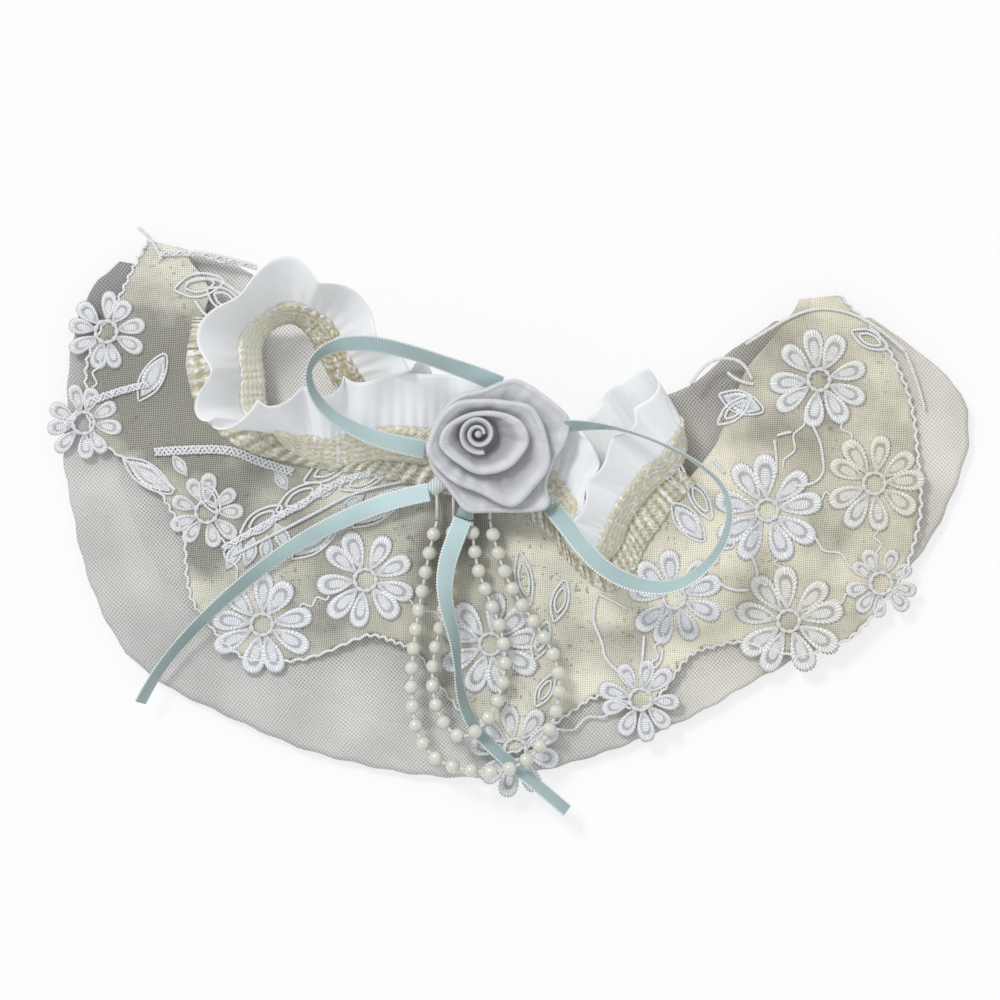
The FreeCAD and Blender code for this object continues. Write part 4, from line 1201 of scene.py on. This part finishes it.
def petal_template():
    """A raised petal one unit long and wide: a flattened ball with a corded rim and sunken middle."""
    bpy.ops.object.select_all(action="DESELECT")
    bpy.ops.mesh.primitive_uv_sphere_add(segments=PETAL_SEGMENTS, ring_count=PETAL_RINGS, radius=1)
    ball = bpy.context.object
    points = np.array([v.co for v in ball.data.vertices], float)
    faces = [tuple(face.vertices) for face in ball.data.polygons]
    bpy.data.meshes.remove(ball.data)
    turn = np.arctan2(points[:, 1], points[:, 0])
    reach = np.hypot(points[:, 0], points[:, 1])
    spread = np.where(reach > 1e-6, np.arccos(np.clip(points[:, 2], -1, 1)) / math.pi, 0)
    top = points[:, 2] >= -0.01
    ring = np.where(top, spread * 2, (1 - spread) * 2)
    ring = np.clip(ring, 0, 1)
    scallop = 1 + SCALLOP * np.where(np.arange(len(points)) % 2 == 0, 1, -1) * (ring > 0.6)
    along = ring * np.cos(turn) * scallop
    rounded = np.sign(np.sin(turn)) * np.abs(np.sin(turn)) ** 0.8
    across = ring * rounded * scallop * petal_width(along) * PETAL_BREADTH
    rim = np.exp(-((ring - RIM_PLACE) / RIM_SPREAD) ** 2)
    height = np.where(top, 0.50 + 0.42 * rim - 0.25 * (ring > 0.99), 0.0)
    sunken = np.clip((0.8 - ring) / 0.2, 0, 1)
    return np.stack([along, across, height], axis=1), faces, sunken, turn, ring


def daisy_piece(name, flower, surface, petals, template):
    """Petals round an open ring of knots, following the cloth under them."""
    centre, diameter, turn, cream = flower
    shape, faces, sunken, around, ring = template
    cloth = Cloth()
    for number in range(petals):
        step = math.sin(number * 2.4 + centre[0])
        angle = math.radians(turn + 360 * number / petals + 5 * step)
        length = diameter / 2 - DAISY_INNER + 0.4 + 0.5 * math.sin(number * 4.1 + centre[1])
        wide = 1.1 * math.pi * diameter / 2 * 0.76 / petals * (1 + 0.06 * step)
        along = DAISY_INNER - 0.3 + (shape[:, 0] + 1) / 2 * length
        across = shape[:, 1] * wide
        x = centre[0] + along * math.cos(angle) - across * math.sin(angle)
        y = centre[1] + along * math.sin(angle) + across * math.cos(angle)
        lift = max(0, 0.25 * math.sin(number * 1.9))
        points = []
        for i in range(len(x)):
            share = (along[i] - DAISY_INNER) / length
            z = surface(x[i], y[i]) - 0.15 + shape[i, 2] * 0.8 + lift * share
            points.append((x[i], y[i], z))
        strand = np.where(ring > 0.6, around * 0.62 * PETAL_SEGMENTS / (2 * math.pi) / 2, along)
        shade = min(1.0, max(0.0, cream + 0.35 * cream * math.sin(angle + 0.5)))
        cloth.add(points, faces, list(zip(strand, sunken)), [shade] * len(points))
    ring_points, ring_faces = knot_ring(KNOT_RING, KNOT_THICKNESS, KNOTS)
    points = []
    for x, y, z in ring_points:
        px, py = centre[0] + x, centre[1] + y
        points.append((px, py, surface(px, py) + 0.45 + z))
    cloth.add(points, ring_faces, [(p[0] * 3, 0.1) for p in points], [cream * 0.6] * len(points))
    return cloth.piece(name, MATERIALS["lace"])


def make_daisies(flowers, name, node, surface, petals, template):
    """One piece for each daisy of a lace, named by its number."""
    for number, flower in enumerate(flowers, 1):
        piece = daisy_piece(name % number, flower, surface, petals, template)
        place_piece(piece, BODY, "lace", node % number)


def knot_ring(radius, thickness, knots):
    """A ring of embroidered knots."""
    points = []
    faces = []
    steps, sides = knots * 4, 6
    for i in range(steps):
        turn = 2 * math.pi * i / steps
        fat = thickness * (0.72 + 0.28 * math.cos(knots * turn))
        for j in range(sides):
            side = 2 * math.pi * j / sides
            reach = radius + fat * math.cos(side)
            points.append((reach * math.cos(turn), reach * math.sin(turn), fat * 0.8 * math.sin(side)))
            a, b = i * sides, ((i + 1) % steps) * sides
            k = (j + 1) % sides
            faces.append((a + j, b + j, b + k, a + k))
    return points, faces


def leaf_points(centre, direction, length, width):
    """Outline of a pointed leaf, from its foot to its tip and back, in millimetres."""
    turn = math.radians(direction)
    outline = []
    for along, across in LEAF_OUTLINE:
        a, b = along * length, across * width
        outline.append((centre[0] + a * math.cos(turn) - b * math.sin(turn),
                        centre[1] + a * math.sin(turn) + b * math.cos(turn)))
    return outline


def line_on_cloth(points, pitch):
    """Even points in millimetres along a smooth line through points, and the way ahead at each."""
    route = [(x * MM, y * MM, 0) for x, y in points]
    line = even_points(route_points(route), pitch * MM)[0] / MM
    ways = []
    for i in range(len(line)):
        ahead = line[min(i + 1, len(line) - 1)] - line[max(i - 1, 0)]
        size = max(1e-6, math.hypot(ahead[0], ahead[1]))
        ways.append((ahead[0] / size, ahead[1] / size))
    return line, ways


def stitched_line(cloth, points, width, surface, cream, raise_by=0.3):
    """A corded line of close stitches over a surface, through points in millimetres."""
    line, ways = line_on_cloth(points, STITCH_PITCH)
    ends = (0, len(line) - 1)
    turns = [2 * math.pi * side / STITCH_SIDES for side in range(STITCH_SIDES)]
    rows = []
    places = []
    for i, (point, way) in enumerate(zip(line, ways)):
        fat = width / 2 * (1 + 0.16 * math.cos(i * math.pi)) * (0.5 if i in ends else 1)
        z = surface(point[0], point[1]) + raise_by
        row = []
        for turn in turns:
            reach = fat * math.cos(turn)
            row.append((point[0] - way[1] * reach, point[1] + way[0] * reach,
                        z + fat * 0.8 * math.sin(turn)))
        rows.append(row)
        places.append([(i * STITCH_PITCH, 0.1)] * STITCH_SIDES)
    first = len(cloth.points)
    cloth.grid(rows, places, [[cream] * STITCH_SIDES] * len(rows), closed_columns=True)
    last = first + (len(rows) - 1) * STITCH_SIDES
    cloth.faces.append(tuple(first + j for j in reversed(range(STITCH_SIDES))))
    cloth.faces.append(tuple(last + j for j in range(STITCH_SIDES)))


def crocheted_strip(cloth, points, width, surface, cream):
    """Thin cords that cross over one another along a line."""
    line, ways = line_on_cloth(points, STRIP_PITCH)
    for cord in range(STRIP_CORDS):
        shifted = []
        for i, (point, way) in enumerate(zip(line, ways)):
            phase = i * STRIP_PITCH / STRIP_REPEAT * 2 * math.pi + cord * 2 * math.pi / STRIP_CORDS
            aside = 0.62 * width * math.sin(phase)
            shifted.append((point[0] - way[1] * aside, point[1] + way[0] * aside))
        stitched_line(cloth, shifted[::2], 0.8, surface, cream, 0.25 + 0.2 * cord)


def filled_leaf(cloth, centre, direction, length, width, surface, cream, template):
    """A leaf of satin stitch: the petal form drawn out to two points."""
    shape, faces, sunken, around, ring = template
    turn = math.radians(direction)
    along = shape[:, 0] * length / 2
    pinch = 1 - 0.75 * np.abs(shape[:, 0]) ** 1.5
    across = shape[:, 1] / petal_width(shape[:, 0]) * 0.62 * pinch * width / PETAL_BREADTH
    x = centre[0] + along * math.cos(turn) - across * math.sin(turn)
    y = centre[1] + along * math.sin(turn) + across * math.cos(turn)
    points = [(x[i], y[i], surface(x[i], y[i]) - 0.15 + shape[i, 2] * 0.7) for i in range(len(x))]
    places = list(zip(np.where(ring > 0.6, around * 3, along), sunken * 0.8))
    cloth.add(points, faces, places, [cream] * len(points))


def sewn_bars(cloth):
    """Wavy bars between the front daisies that lie close to each other."""
    for first, (centre, diameter, turn, cream) in enumerate(FRONT_DAISIES):
        for other, other_diameter, other_turn, other_cream in FRONT_DAISIES[first + 1:]:
            gap = math.dist(centre, other) - (diameter + other_diameter) / 2
            if gap < BAR_GAP:
                bar = wavy_bar(centre, other, diameter / 2, other_diameter / 2)
                stitched_line(cloth, bar, 0.7, lace_top, (cream + other_cream) / 2, 0.2)


def hem_cord(cloth):
    """A scalloped cord along the front net's hem."""
    hem = []
    for step in range(2 * (NET_ANGLES[1] - NET_ANGLES[0]) + 1):
        angle = NET_ANGLES[0] + step / 2
        place = on_fan(angle, edge_radius(NET_HEM, angle) - 0.2 + 0.9 * (step % 3 == 0), 0)
        hem.append((place.x, place.y))
    stitched_line(cloth, hem, 0.9, lace_top, 0.2, 0.1)


def make_embroidery():
    """Corded lines, crocheted strips, leaves, bars between the daisies and the hem's cord."""
    cloth = Cloth()
    for width, cream, points in TRIMS:
        if width < STRIP_WIDTH:
            stitched_line(cloth, points, width, lace_top, cream, 0.35)
        else:
            crocheted_strip(cloth, points, width, lace_top, cream)
    template = petal_template()
    for centre, direction, length, width in SATIN_LEAVES:
        filled_leaf(cloth, centre, direction, length, width, lace_top, 0.1, template)
    for centre, direction, length, width in CLUSTERS:
        for share in (1, 0.6):
            outline = leaf_points(centre, direction, length * share, width * share)
            stitched_line(cloth, outline, 0.8, lace_top, 0.1, 0.35)
    sewn_bars(cloth)
    hem_cord(cloth)
    piece = cloth.piece("embroidery", MATERIALS["lace"])
    place_piece(piece, BODY, "lace")


def wavy_bar(centre, other, reach, other_reach):
    """A wavy line from one daisy's petals to another's."""
    start, end = Vector(centre), Vector(other)
    along = (end - start).normalized()
    side = Vector((-along.y, along.x))
    start += along * (reach - 3)
    end -= along * (other_reach - 3)
    points = []
    for step in range(9):
        point = start.lerp(end, step / 8) + side * (1.2 * math.sin(step * math.pi / 2))
        points.append((point.x, point.y))
    return points


# Rose
def smooth_outline(outline, steps):
    """A closed smooth line through an outline's points."""
    count = len(outline)
    made = []
    for step in range(steps):
        place = count * step / steps
        first = int(place)
        four = [Vector(outline[(first + k) % count]) for k in (-1, 0, 1, 2)]
        made.append(catmull(four[0], four[1], four[2], four[3], place - first))
    return made


def petal_ring(cloth, outline, centre, foot, foot_height, lip_height, roll, lean):
    """A wrap of folded organza, from its foot to a lip that rolls outwards: its depth and length."""
    lip = smooth_outline(outline, LIP_STEPS)
    middle = Vector((centre[0], centre[1], 0))
    bud = Vector((BUD_CENTRE[0], BUD_CENTRE[1], 0))
    rows = []
    places = []
    walked = 0.0
    for i, point in enumerate(lip):
        walked += (point - lip[i - 1]).length if i else 0
        out = Vector((point.x, point.y, 0))
        size = max(0.1, out.length)
        direction = out / size
        wave = 0.8 * noise.noise(Vector((point.x * 0.3, point.y * 0.3, foot)))
        row = []
        place = []
        for share, rise in PETAL_SECTIONS:
            reach = foot + (size - foot) * share
            z = foot_height + (lip_height + wave - foot_height) * rise
            shift = bud * (lean * (1 - share))
            row.append(middle + shift + direction * reach + Vector((0, 0, z)))
            place.append((walked, share))
        top = row[-1]
        for turn in ROLL_TURNS:
            arc = math.radians(turn)
            row.append(top + direction * (roll * (1 - math.cos(arc)) / 2)
                       + Vector((0, 0, -roll * 0.15 + roll * 0.45 * math.sin(arc))))
            place.append((walked, 1.0))
        row.append(row[-1] + direction * 0.15 + Vector((0, 0, -roll)))
        place.append((walked, 0.6))
        rows.append(row)
        places.append(place)
    cloth.grid(rows, places, closed_rows=True)
    return sum(line_length(row) for row in rows) / len(rows), walked


def bud_spiral(cloth, centre, base):
    """The rose's heart, a strip wound almost twice: its depth and length."""
    middle = Vector((centre[0], centre[1], 0))
    rows = []
    places = []
    walked = 0.0
    for step in range(BUD_STEPS + 1):
        share = step / BUD_STEPS
        turn = 2 * math.pi * BUD_TURNS * share
        radius = BUD_RADIUS + BUD_GROWTH * share
        lip = base + BUD_HEIGHT - BUD_FALL * share
        direction = Vector((math.cos(turn), math.sin(turn), 0))
        walked += radius * 2 * math.pi * BUD_TURNS / BUD_STEPS
        section = ((radius * BUD_FOOT_SHARE, base),
                   (radius * BUD_FOOT_SHARE, lip - 3.2),
                   (max(radius * 0.8, radius - 0.8), lip - 0.9),
                   (radius, lip),
                   (radius + 0.35, lip - 0.05),
                   (radius + 0.5, lip - 0.8))
        rows.append([middle + direction * reach + Vector((0, 0, z)) for reach, z in section])
        places.append([(walked, s) for s in (0, 0.4, 0.8, 1, 1, 0.8)])
    cloth.grid(rows, places)
    return sum(line_length(row) for row in rows) / len(rows), walked


def bud_knob(cloth, knob):
    """The closed tip in the middle of the heart."""
    turns = [2 * math.pi * k / KNOB_COLUMNS for k in range(KNOB_COLUMNS)]
    ball = []
    for u in (0.15, 0.5, 0.9, 1.3, 1.7):
        ball.append([knob + Vector((0.95 * math.cos(t) * math.sin(u), 0.95 * math.sin(t) * math.sin(u),
                                    1.5 * math.cos(u))) for t in turns])
    cloth.grid(ball, [[(k * 0.4, 1.0) for k in range(KNOB_COLUMNS)]] * len(ball), closed_columns=True)


def rose_piece(name, node, cloth):
    piece = cloth.piece(name, MATERIALS["organza"])
    thicken(piece, PETAL_THICKNESS)
    place_piece(piece, BODY, "organza", node)


def add_bar(cloth, start, end, width, thickness):
    """A flat bar between two points."""
    along = (end - start).normalized()
    side = Vector((-along.y, along.x, 0)) * (width / 2)
    up = Vector((0, 0, thickness / 2))
    corners = ((side, up), (-side, up), (-side, -up), (side, -up))
    ends = [point + a + b for point in (start, end) for a, b in corners]
    cloth.add(ends, [(0, 1, 2, 3), (7, 6, 5, 4), (0, 4, 5, 1), (1, 5, 6, 2), (2, 6, 7, 3), (3, 7, 4, 0)])


# Operators
class Maker(bpy.types.Operator):
    """Base of the operators that make pieces."""
    bl_options = {"REGISTER"}

    def execute(self, context):
        self.make(context.scene.garter_sizes, context.scene.garter_colours)
        return {"FINISHED"}


class GARTER_OT_stage(Maker):
    """Adds the camera, the lights and the pale floor"""
    bl_idname = "garter.stage"
    bl_label = "Stage"

    def make(self, sizes, colours):
        bpy.ops.object.camera_add(location=CAMERA_PLACE, rotation=(0, 0, 0))
        camera = bpy.context.object
        camera.data.sensor_width = SENSOR_WIDTH
        camera.data.lens = SENSOR_WIDTH * CAMERA_TO_GARTER / PICTURE_WIDTH
        camera.data.clip_start = 0.01
        bpy.context.scene.camera = camera
        bpy.ops.object.light_add(type="SUN", rotation=(math.radians(SUN_TURNS[0]),
                                                       math.radians(SUN_TURNS[1]), 0))
        bpy.context.object.data.energy = SUN_STRENGTH
        bpy.context.object.data.angle = math.radians(SUN_SPREAD)
        world = bpy.data.worlds.new("studio")
        world.use_nodes = True
        background = world.node_tree.nodes["Background"]
        background.inputs["Color"].default_value = SKY_COLOUR
        background.inputs["Strength"].default_value = SKY_STRENGTH
        bpy.context.scene.world = world
        bpy.context.scene.view_settings.view_transform = "Standard"
        make_materials(sizes, colours)
        only(camera)
        bpy.ops.mesh.primitive_plane_add(size=FLOOR_SIZE, location=(0, 0, -FLOOR_DROP))
        floor = bpy.context.object
        floor.name = "floor"
        material, tree, shader = new_material("pale_floor", 0.9)
        shader.inputs["Base Color"].default_value = FLOOR_COLOUR
        output = tree.nodes["Material Output"]
        glow = tree.nodes.new("ShaderNodeEmission")
        blend = tree.nodes.new("ShaderNodeMixShader")
        path = tree.nodes.new("ShaderNodeLightPath")
        seen = calc(tree, "MAXIMUM", path.outputs["Is Camera Ray"], path.outputs["Is Glossy Ray"])
        seen = calc(tree, "MAXIMUM", seen, path.outputs["Is Transmission Ray"])
        tree.links.new(times(tree, seen, FLOOR_GLOW), blend.inputs[0])
        tree.links.new(shader.outputs[0], blend.inputs[1])
        tree.links.new(glow.outputs[0], blend.inputs[2])
        tree.links.new(blend.outputs[0], output.inputs["Surface"])
        floor.data.materials.append(material)


class GARTER_OT_bow(Maker):
    """Adds the two loops and two tails of the bow"""
    bl_idname = "garter.bow"
    bl_label = "Bow"

    def make(self, sizes, colours):
        width = sizes.ribbon_width
        make_ribbon("loop_left", LOOP_LEFT, "left_loop", "bow_loop_left",
                    width=width, painted_shade=(0.15, 0.85))
        make_ribbon("loop_right", LOOP_RIGHT, "right_loop", "bow_loop_right",
                    width=width, painted_shade=(0.6, 0.1))
        make_ribbon("tail_long", TAIL_LONG, "long_tail", "ribbon_tail_long",
                    width=width, painted_shade=(0.0, 1.15))
        make_ribbon("tail_short", TAIL_SHORT, "pearl_drop", "ribbon_tail_short",
                    width=width, painted_shade=(0.25, 0.75))


class GARTER_OT_pearls(Maker):
    """Adds the two strands of pearls on their threads"""
    bl_idname = "garter.pearls"
    bl_label = "Pearls"

    def make(self, sizes, colours):
        make_strand("outer", STRAND_OUTER, sizes)
        make_strand("inner", STRAND_INNER, sizes)


class GARTER_OT_band(Maker):
    """Adds the elastic and its casing"""
    bl_idname = "garter.band"
    bl_label = "Band"

    def make(self, sizes, colours):
        make_casing(make_elastic())


class GARTER_OT_ruffle(Maker):
    """Adds the satin ruffle on the band's upper edge"""
    bl_idname = "garter.ruffle"
    bl_label = "Ruffle"

    def make(self, sizes, colours):
        make_ruffle(sizes)


class GARTER_OT_headings(Maker):
    """Adds the gathered lace under the band, front and back"""
    bl_idname = "garter.headings"
    bl_label = "Headings"

    def make(self, sizes, colours):
        make_heading("heading_front", NEAR_STATIONS, "gathered_heading", front_foot)
        make_heading("heading_back", BACK_STATIONS, "back_heading", back_foot)


class GARTER_OT_flounces(Maker):
    """Adds the tulle and lace net flounces, front and back"""
    bl_idname = "garter.flounces"
    bl_label = "Flounces"

    def make(self, sizes, colours):
        on_front = ["heading_front", "embroidery"]
        on_front += ["leaf_%d" % n for n in range(1, len(LEAVES) + 1)]
        on_front += ["daisy_%d" % n for n in range(1, len(FRONT_DAISIES) + 1)]
        back_edges = (BACK_TOP, BACK_HEM)
        make_flounce("tulle_over", "tulle_front", (FLOUNCE_TOP, TULLE_HEM), TULLE_ANGLES, tulle_height,
                     TULLE_LIFT, "tulle", TULLE_SPOTS, TULLE_EDGE_WAVE)
        make_flounce("net_over", "net_front", (FLOUNCE_TOP, NET_HEM), NET_ANGLES, net_height,
                     NET_LIFT, "net", NET_SPOTS, NET_EDGE_WAVE)
        make_flounce("net_under", "net_back", back_edges, BACK_ANGLES, flat_height,
                     BACK_NET_HEIGHT, "net", BACK_SPOTS, NET_EDGE_WAVE)
        make_flounce("tulle_under", "tulle_back", back_edges, BACK_ANGLES, flat_height,
                     BACK_TULLE_HEIGHT, "tulle", BACK_SPOTS, TULLE_EDGE_WAVE)


class GARTER_OT_daisies(Maker):
    """Adds the embroidered daisies and leaves of the lace"""
    bl_idname = "garter.daisies"
    bl_label = "Daisies and leaves"

    def make(self, sizes, colours):
        template = petal_template()
        petals = sizes.daisy_petals
        make_daisies(FRONT_DAISIES, "daisy_%d", "lace_daisy_%d", lace_top, petals, template)
        make_daisies(BACK_DAISIES, "under_daisy_%d", "back_daisy_%d", back_top, petals, template)
        for number, (centre, direction, length) in enumerate(LEAVES, 1):
            cloth = Cloth()
            filled_leaf(cloth, centre, direction, length, LEAF_WIDTH, lace_top, 0.1, template)
            outline = leaf_points(centre, direction, length + LEAF_CORD_LENGTH, LEAF_CORD_WIDTH)
            stitched_line(cloth, outline, 0.7, lace_top, 0.1)
            piece = cloth.piece("leaf_%d" % number, MATERIALS["lace"])
            place_piece(piece, BODY, "lace", "lace_leaf_%d" % number)
        make_embroidery()


class GARTER_OT_rose(Maker):
    """Adds the organza rose and its backing"""
    bl_idname = "garter.rose"
    bl_label = "Rose"

    def make(self, sizes, colours):
        x, y, base = ROSE_CENTRE
        bud = Cloth()
        depth, length = bud_spiral(bud, (x + BUD_CENTRE[0], y + BUD_CENTRE[1]), base)
        bud_knob(bud, Vector((x + BUD_CENTRE[0], y + BUD_CENTRE[1], base + KNOB_HEIGHT)))
        rose_piece("rose_heart", "rose_bud", bud)
        for name, node, outline, foot, low, high, roll, lean in PETAL_WRAPS:
            cloth = Cloth()
            depth, length = petal_ring(cloth, outline, (x, y), foot, base + low, base + high, roll, lean)
            rose_piece(name, node, cloth)
        low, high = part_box("rose_backing")
        bpy.ops.object.select_all(action="DESELECT")
        bpy.ops.mesh.primitive_cylinder_add(vertices=BACKING_SIDES, radius=(high.x - low.x) / 2,
                                            depth=high.z - low.z, location=(low + high) / 2)
        backing = bpy.context.object
        backing.name = "backing_disc"
        bpy.ops.object.transform_apply(location=True)
        modify(backing, "BEVEL", width=BACKING_BEVEL, segments=3)
        backing.data.materials.append(MATERIALS["felt"])
        place_piece(backing, BODY, "felt", "rose_backing")


class GARTER_OT_knot(Maker):
    """Adds the knot of the bow under the rose"""
    bl_idname = "garter.knot"
    bl_label = "Knot"

    def make(self, sizes, colours):
        cloth = Cloth()
        middle = Vector((ROSE_CENTRE[0], ROSE_CENTRE[1], BOW_Z))
        add_bar(cloth, Vector(TIE_START), Vector(TIE_END), TIE_WIDTH, TIE_THICKNESS)
        for end in (LOOP_LEFT[0], LOOP_LEFT[-1], LOOP_RIGHT[0], LOOP_RIGHT[-1], TAIL_LONG[0],
                    TAIL_SHORT[0]):
            start = Vector((end[0] / MM, end[1] / MM, min(end[2] / MM, ARM_TOP)))
            inside = start - (start - middle).normalized() * ARM_GAP
            add_bar(cloth, middle, inside, ARM_WIDTH, ARM_THICKNESS)
        knot = cloth.piece("bow_tie", MATERIALS["ribbon"])
        place_piece(knot, BODY, "aqua_ribbon", "bow_knot")
        hangers = Cloth()
        for end in (STRAND_OUTER[0], STRAND_OUTER[-1], STRAND_INNER[0], STRAND_INNER[-1]):
            start = Vector((end[0] / MM, end[1] / MM + ANCHOR_GAP, end[2] / MM))
            hidden = start + Vector((0, HANGER_LENGTH, 0))
            add_bar(hangers, hidden, start, HANGER_WIDTH, HANGER_THICKNESS)
        place_piece(hangers.piece("strand_hangers", MATERIALS["bead_thread"]), BODY, "bead_thread")


class GARTER_PT_panel(bpy.types.Panel):
    """Lists the steps that make the garter"""
    bl_label = "Bridal garter"
    bl_space_type = "VIEW_3D"
    bl_region_type = "UI"
    bl_category = "Garter"

    def draw(self, context):
        for operator in OPERATORS:
            self.layout.operator(operator.bl_idname)
        for group in (context.scene.garter_sizes, context.scene.garter_colours):
            for name in group.__annotations__:
                self.layout.prop(group, name)


OPERATORS = (GARTER_OT_stage, GARTER_OT_bow, GARTER_OT_pearls, GARTER_OT_band, GARTER_OT_ruffle,
             GARTER_OT_headings, GARTER_OT_daisies, GARTER_OT_flounces, GARTER_OT_rose,
             GARTER_OT_knot)
CLASSES = (GarterSizes, GarterColours) + OPERATORS + (GARTER_PT_panel,)


def register():
    for item in CLASSES:
        bpy.utils.register_class(item)
    bpy.types.Scene.garter_sizes = PointerProperty(type=GarterSizes)
    bpy.types.Scene.garter_colours = PointerProperty(type=GarterColours)


def unregister():
    del bpy.types.Scene.garter_sizes
    del bpy.types.Scene.garter_colours
    for item in reversed(CLASSES):
        bpy.utils.unregister_class(item)


def main():
    register()
    for operator in OPERATORS:
        group, name = operator.bl_idname.split(".")
        getattr(getattr(bpy.ops, group), name)()


if __name__ == "__main__":
    main()
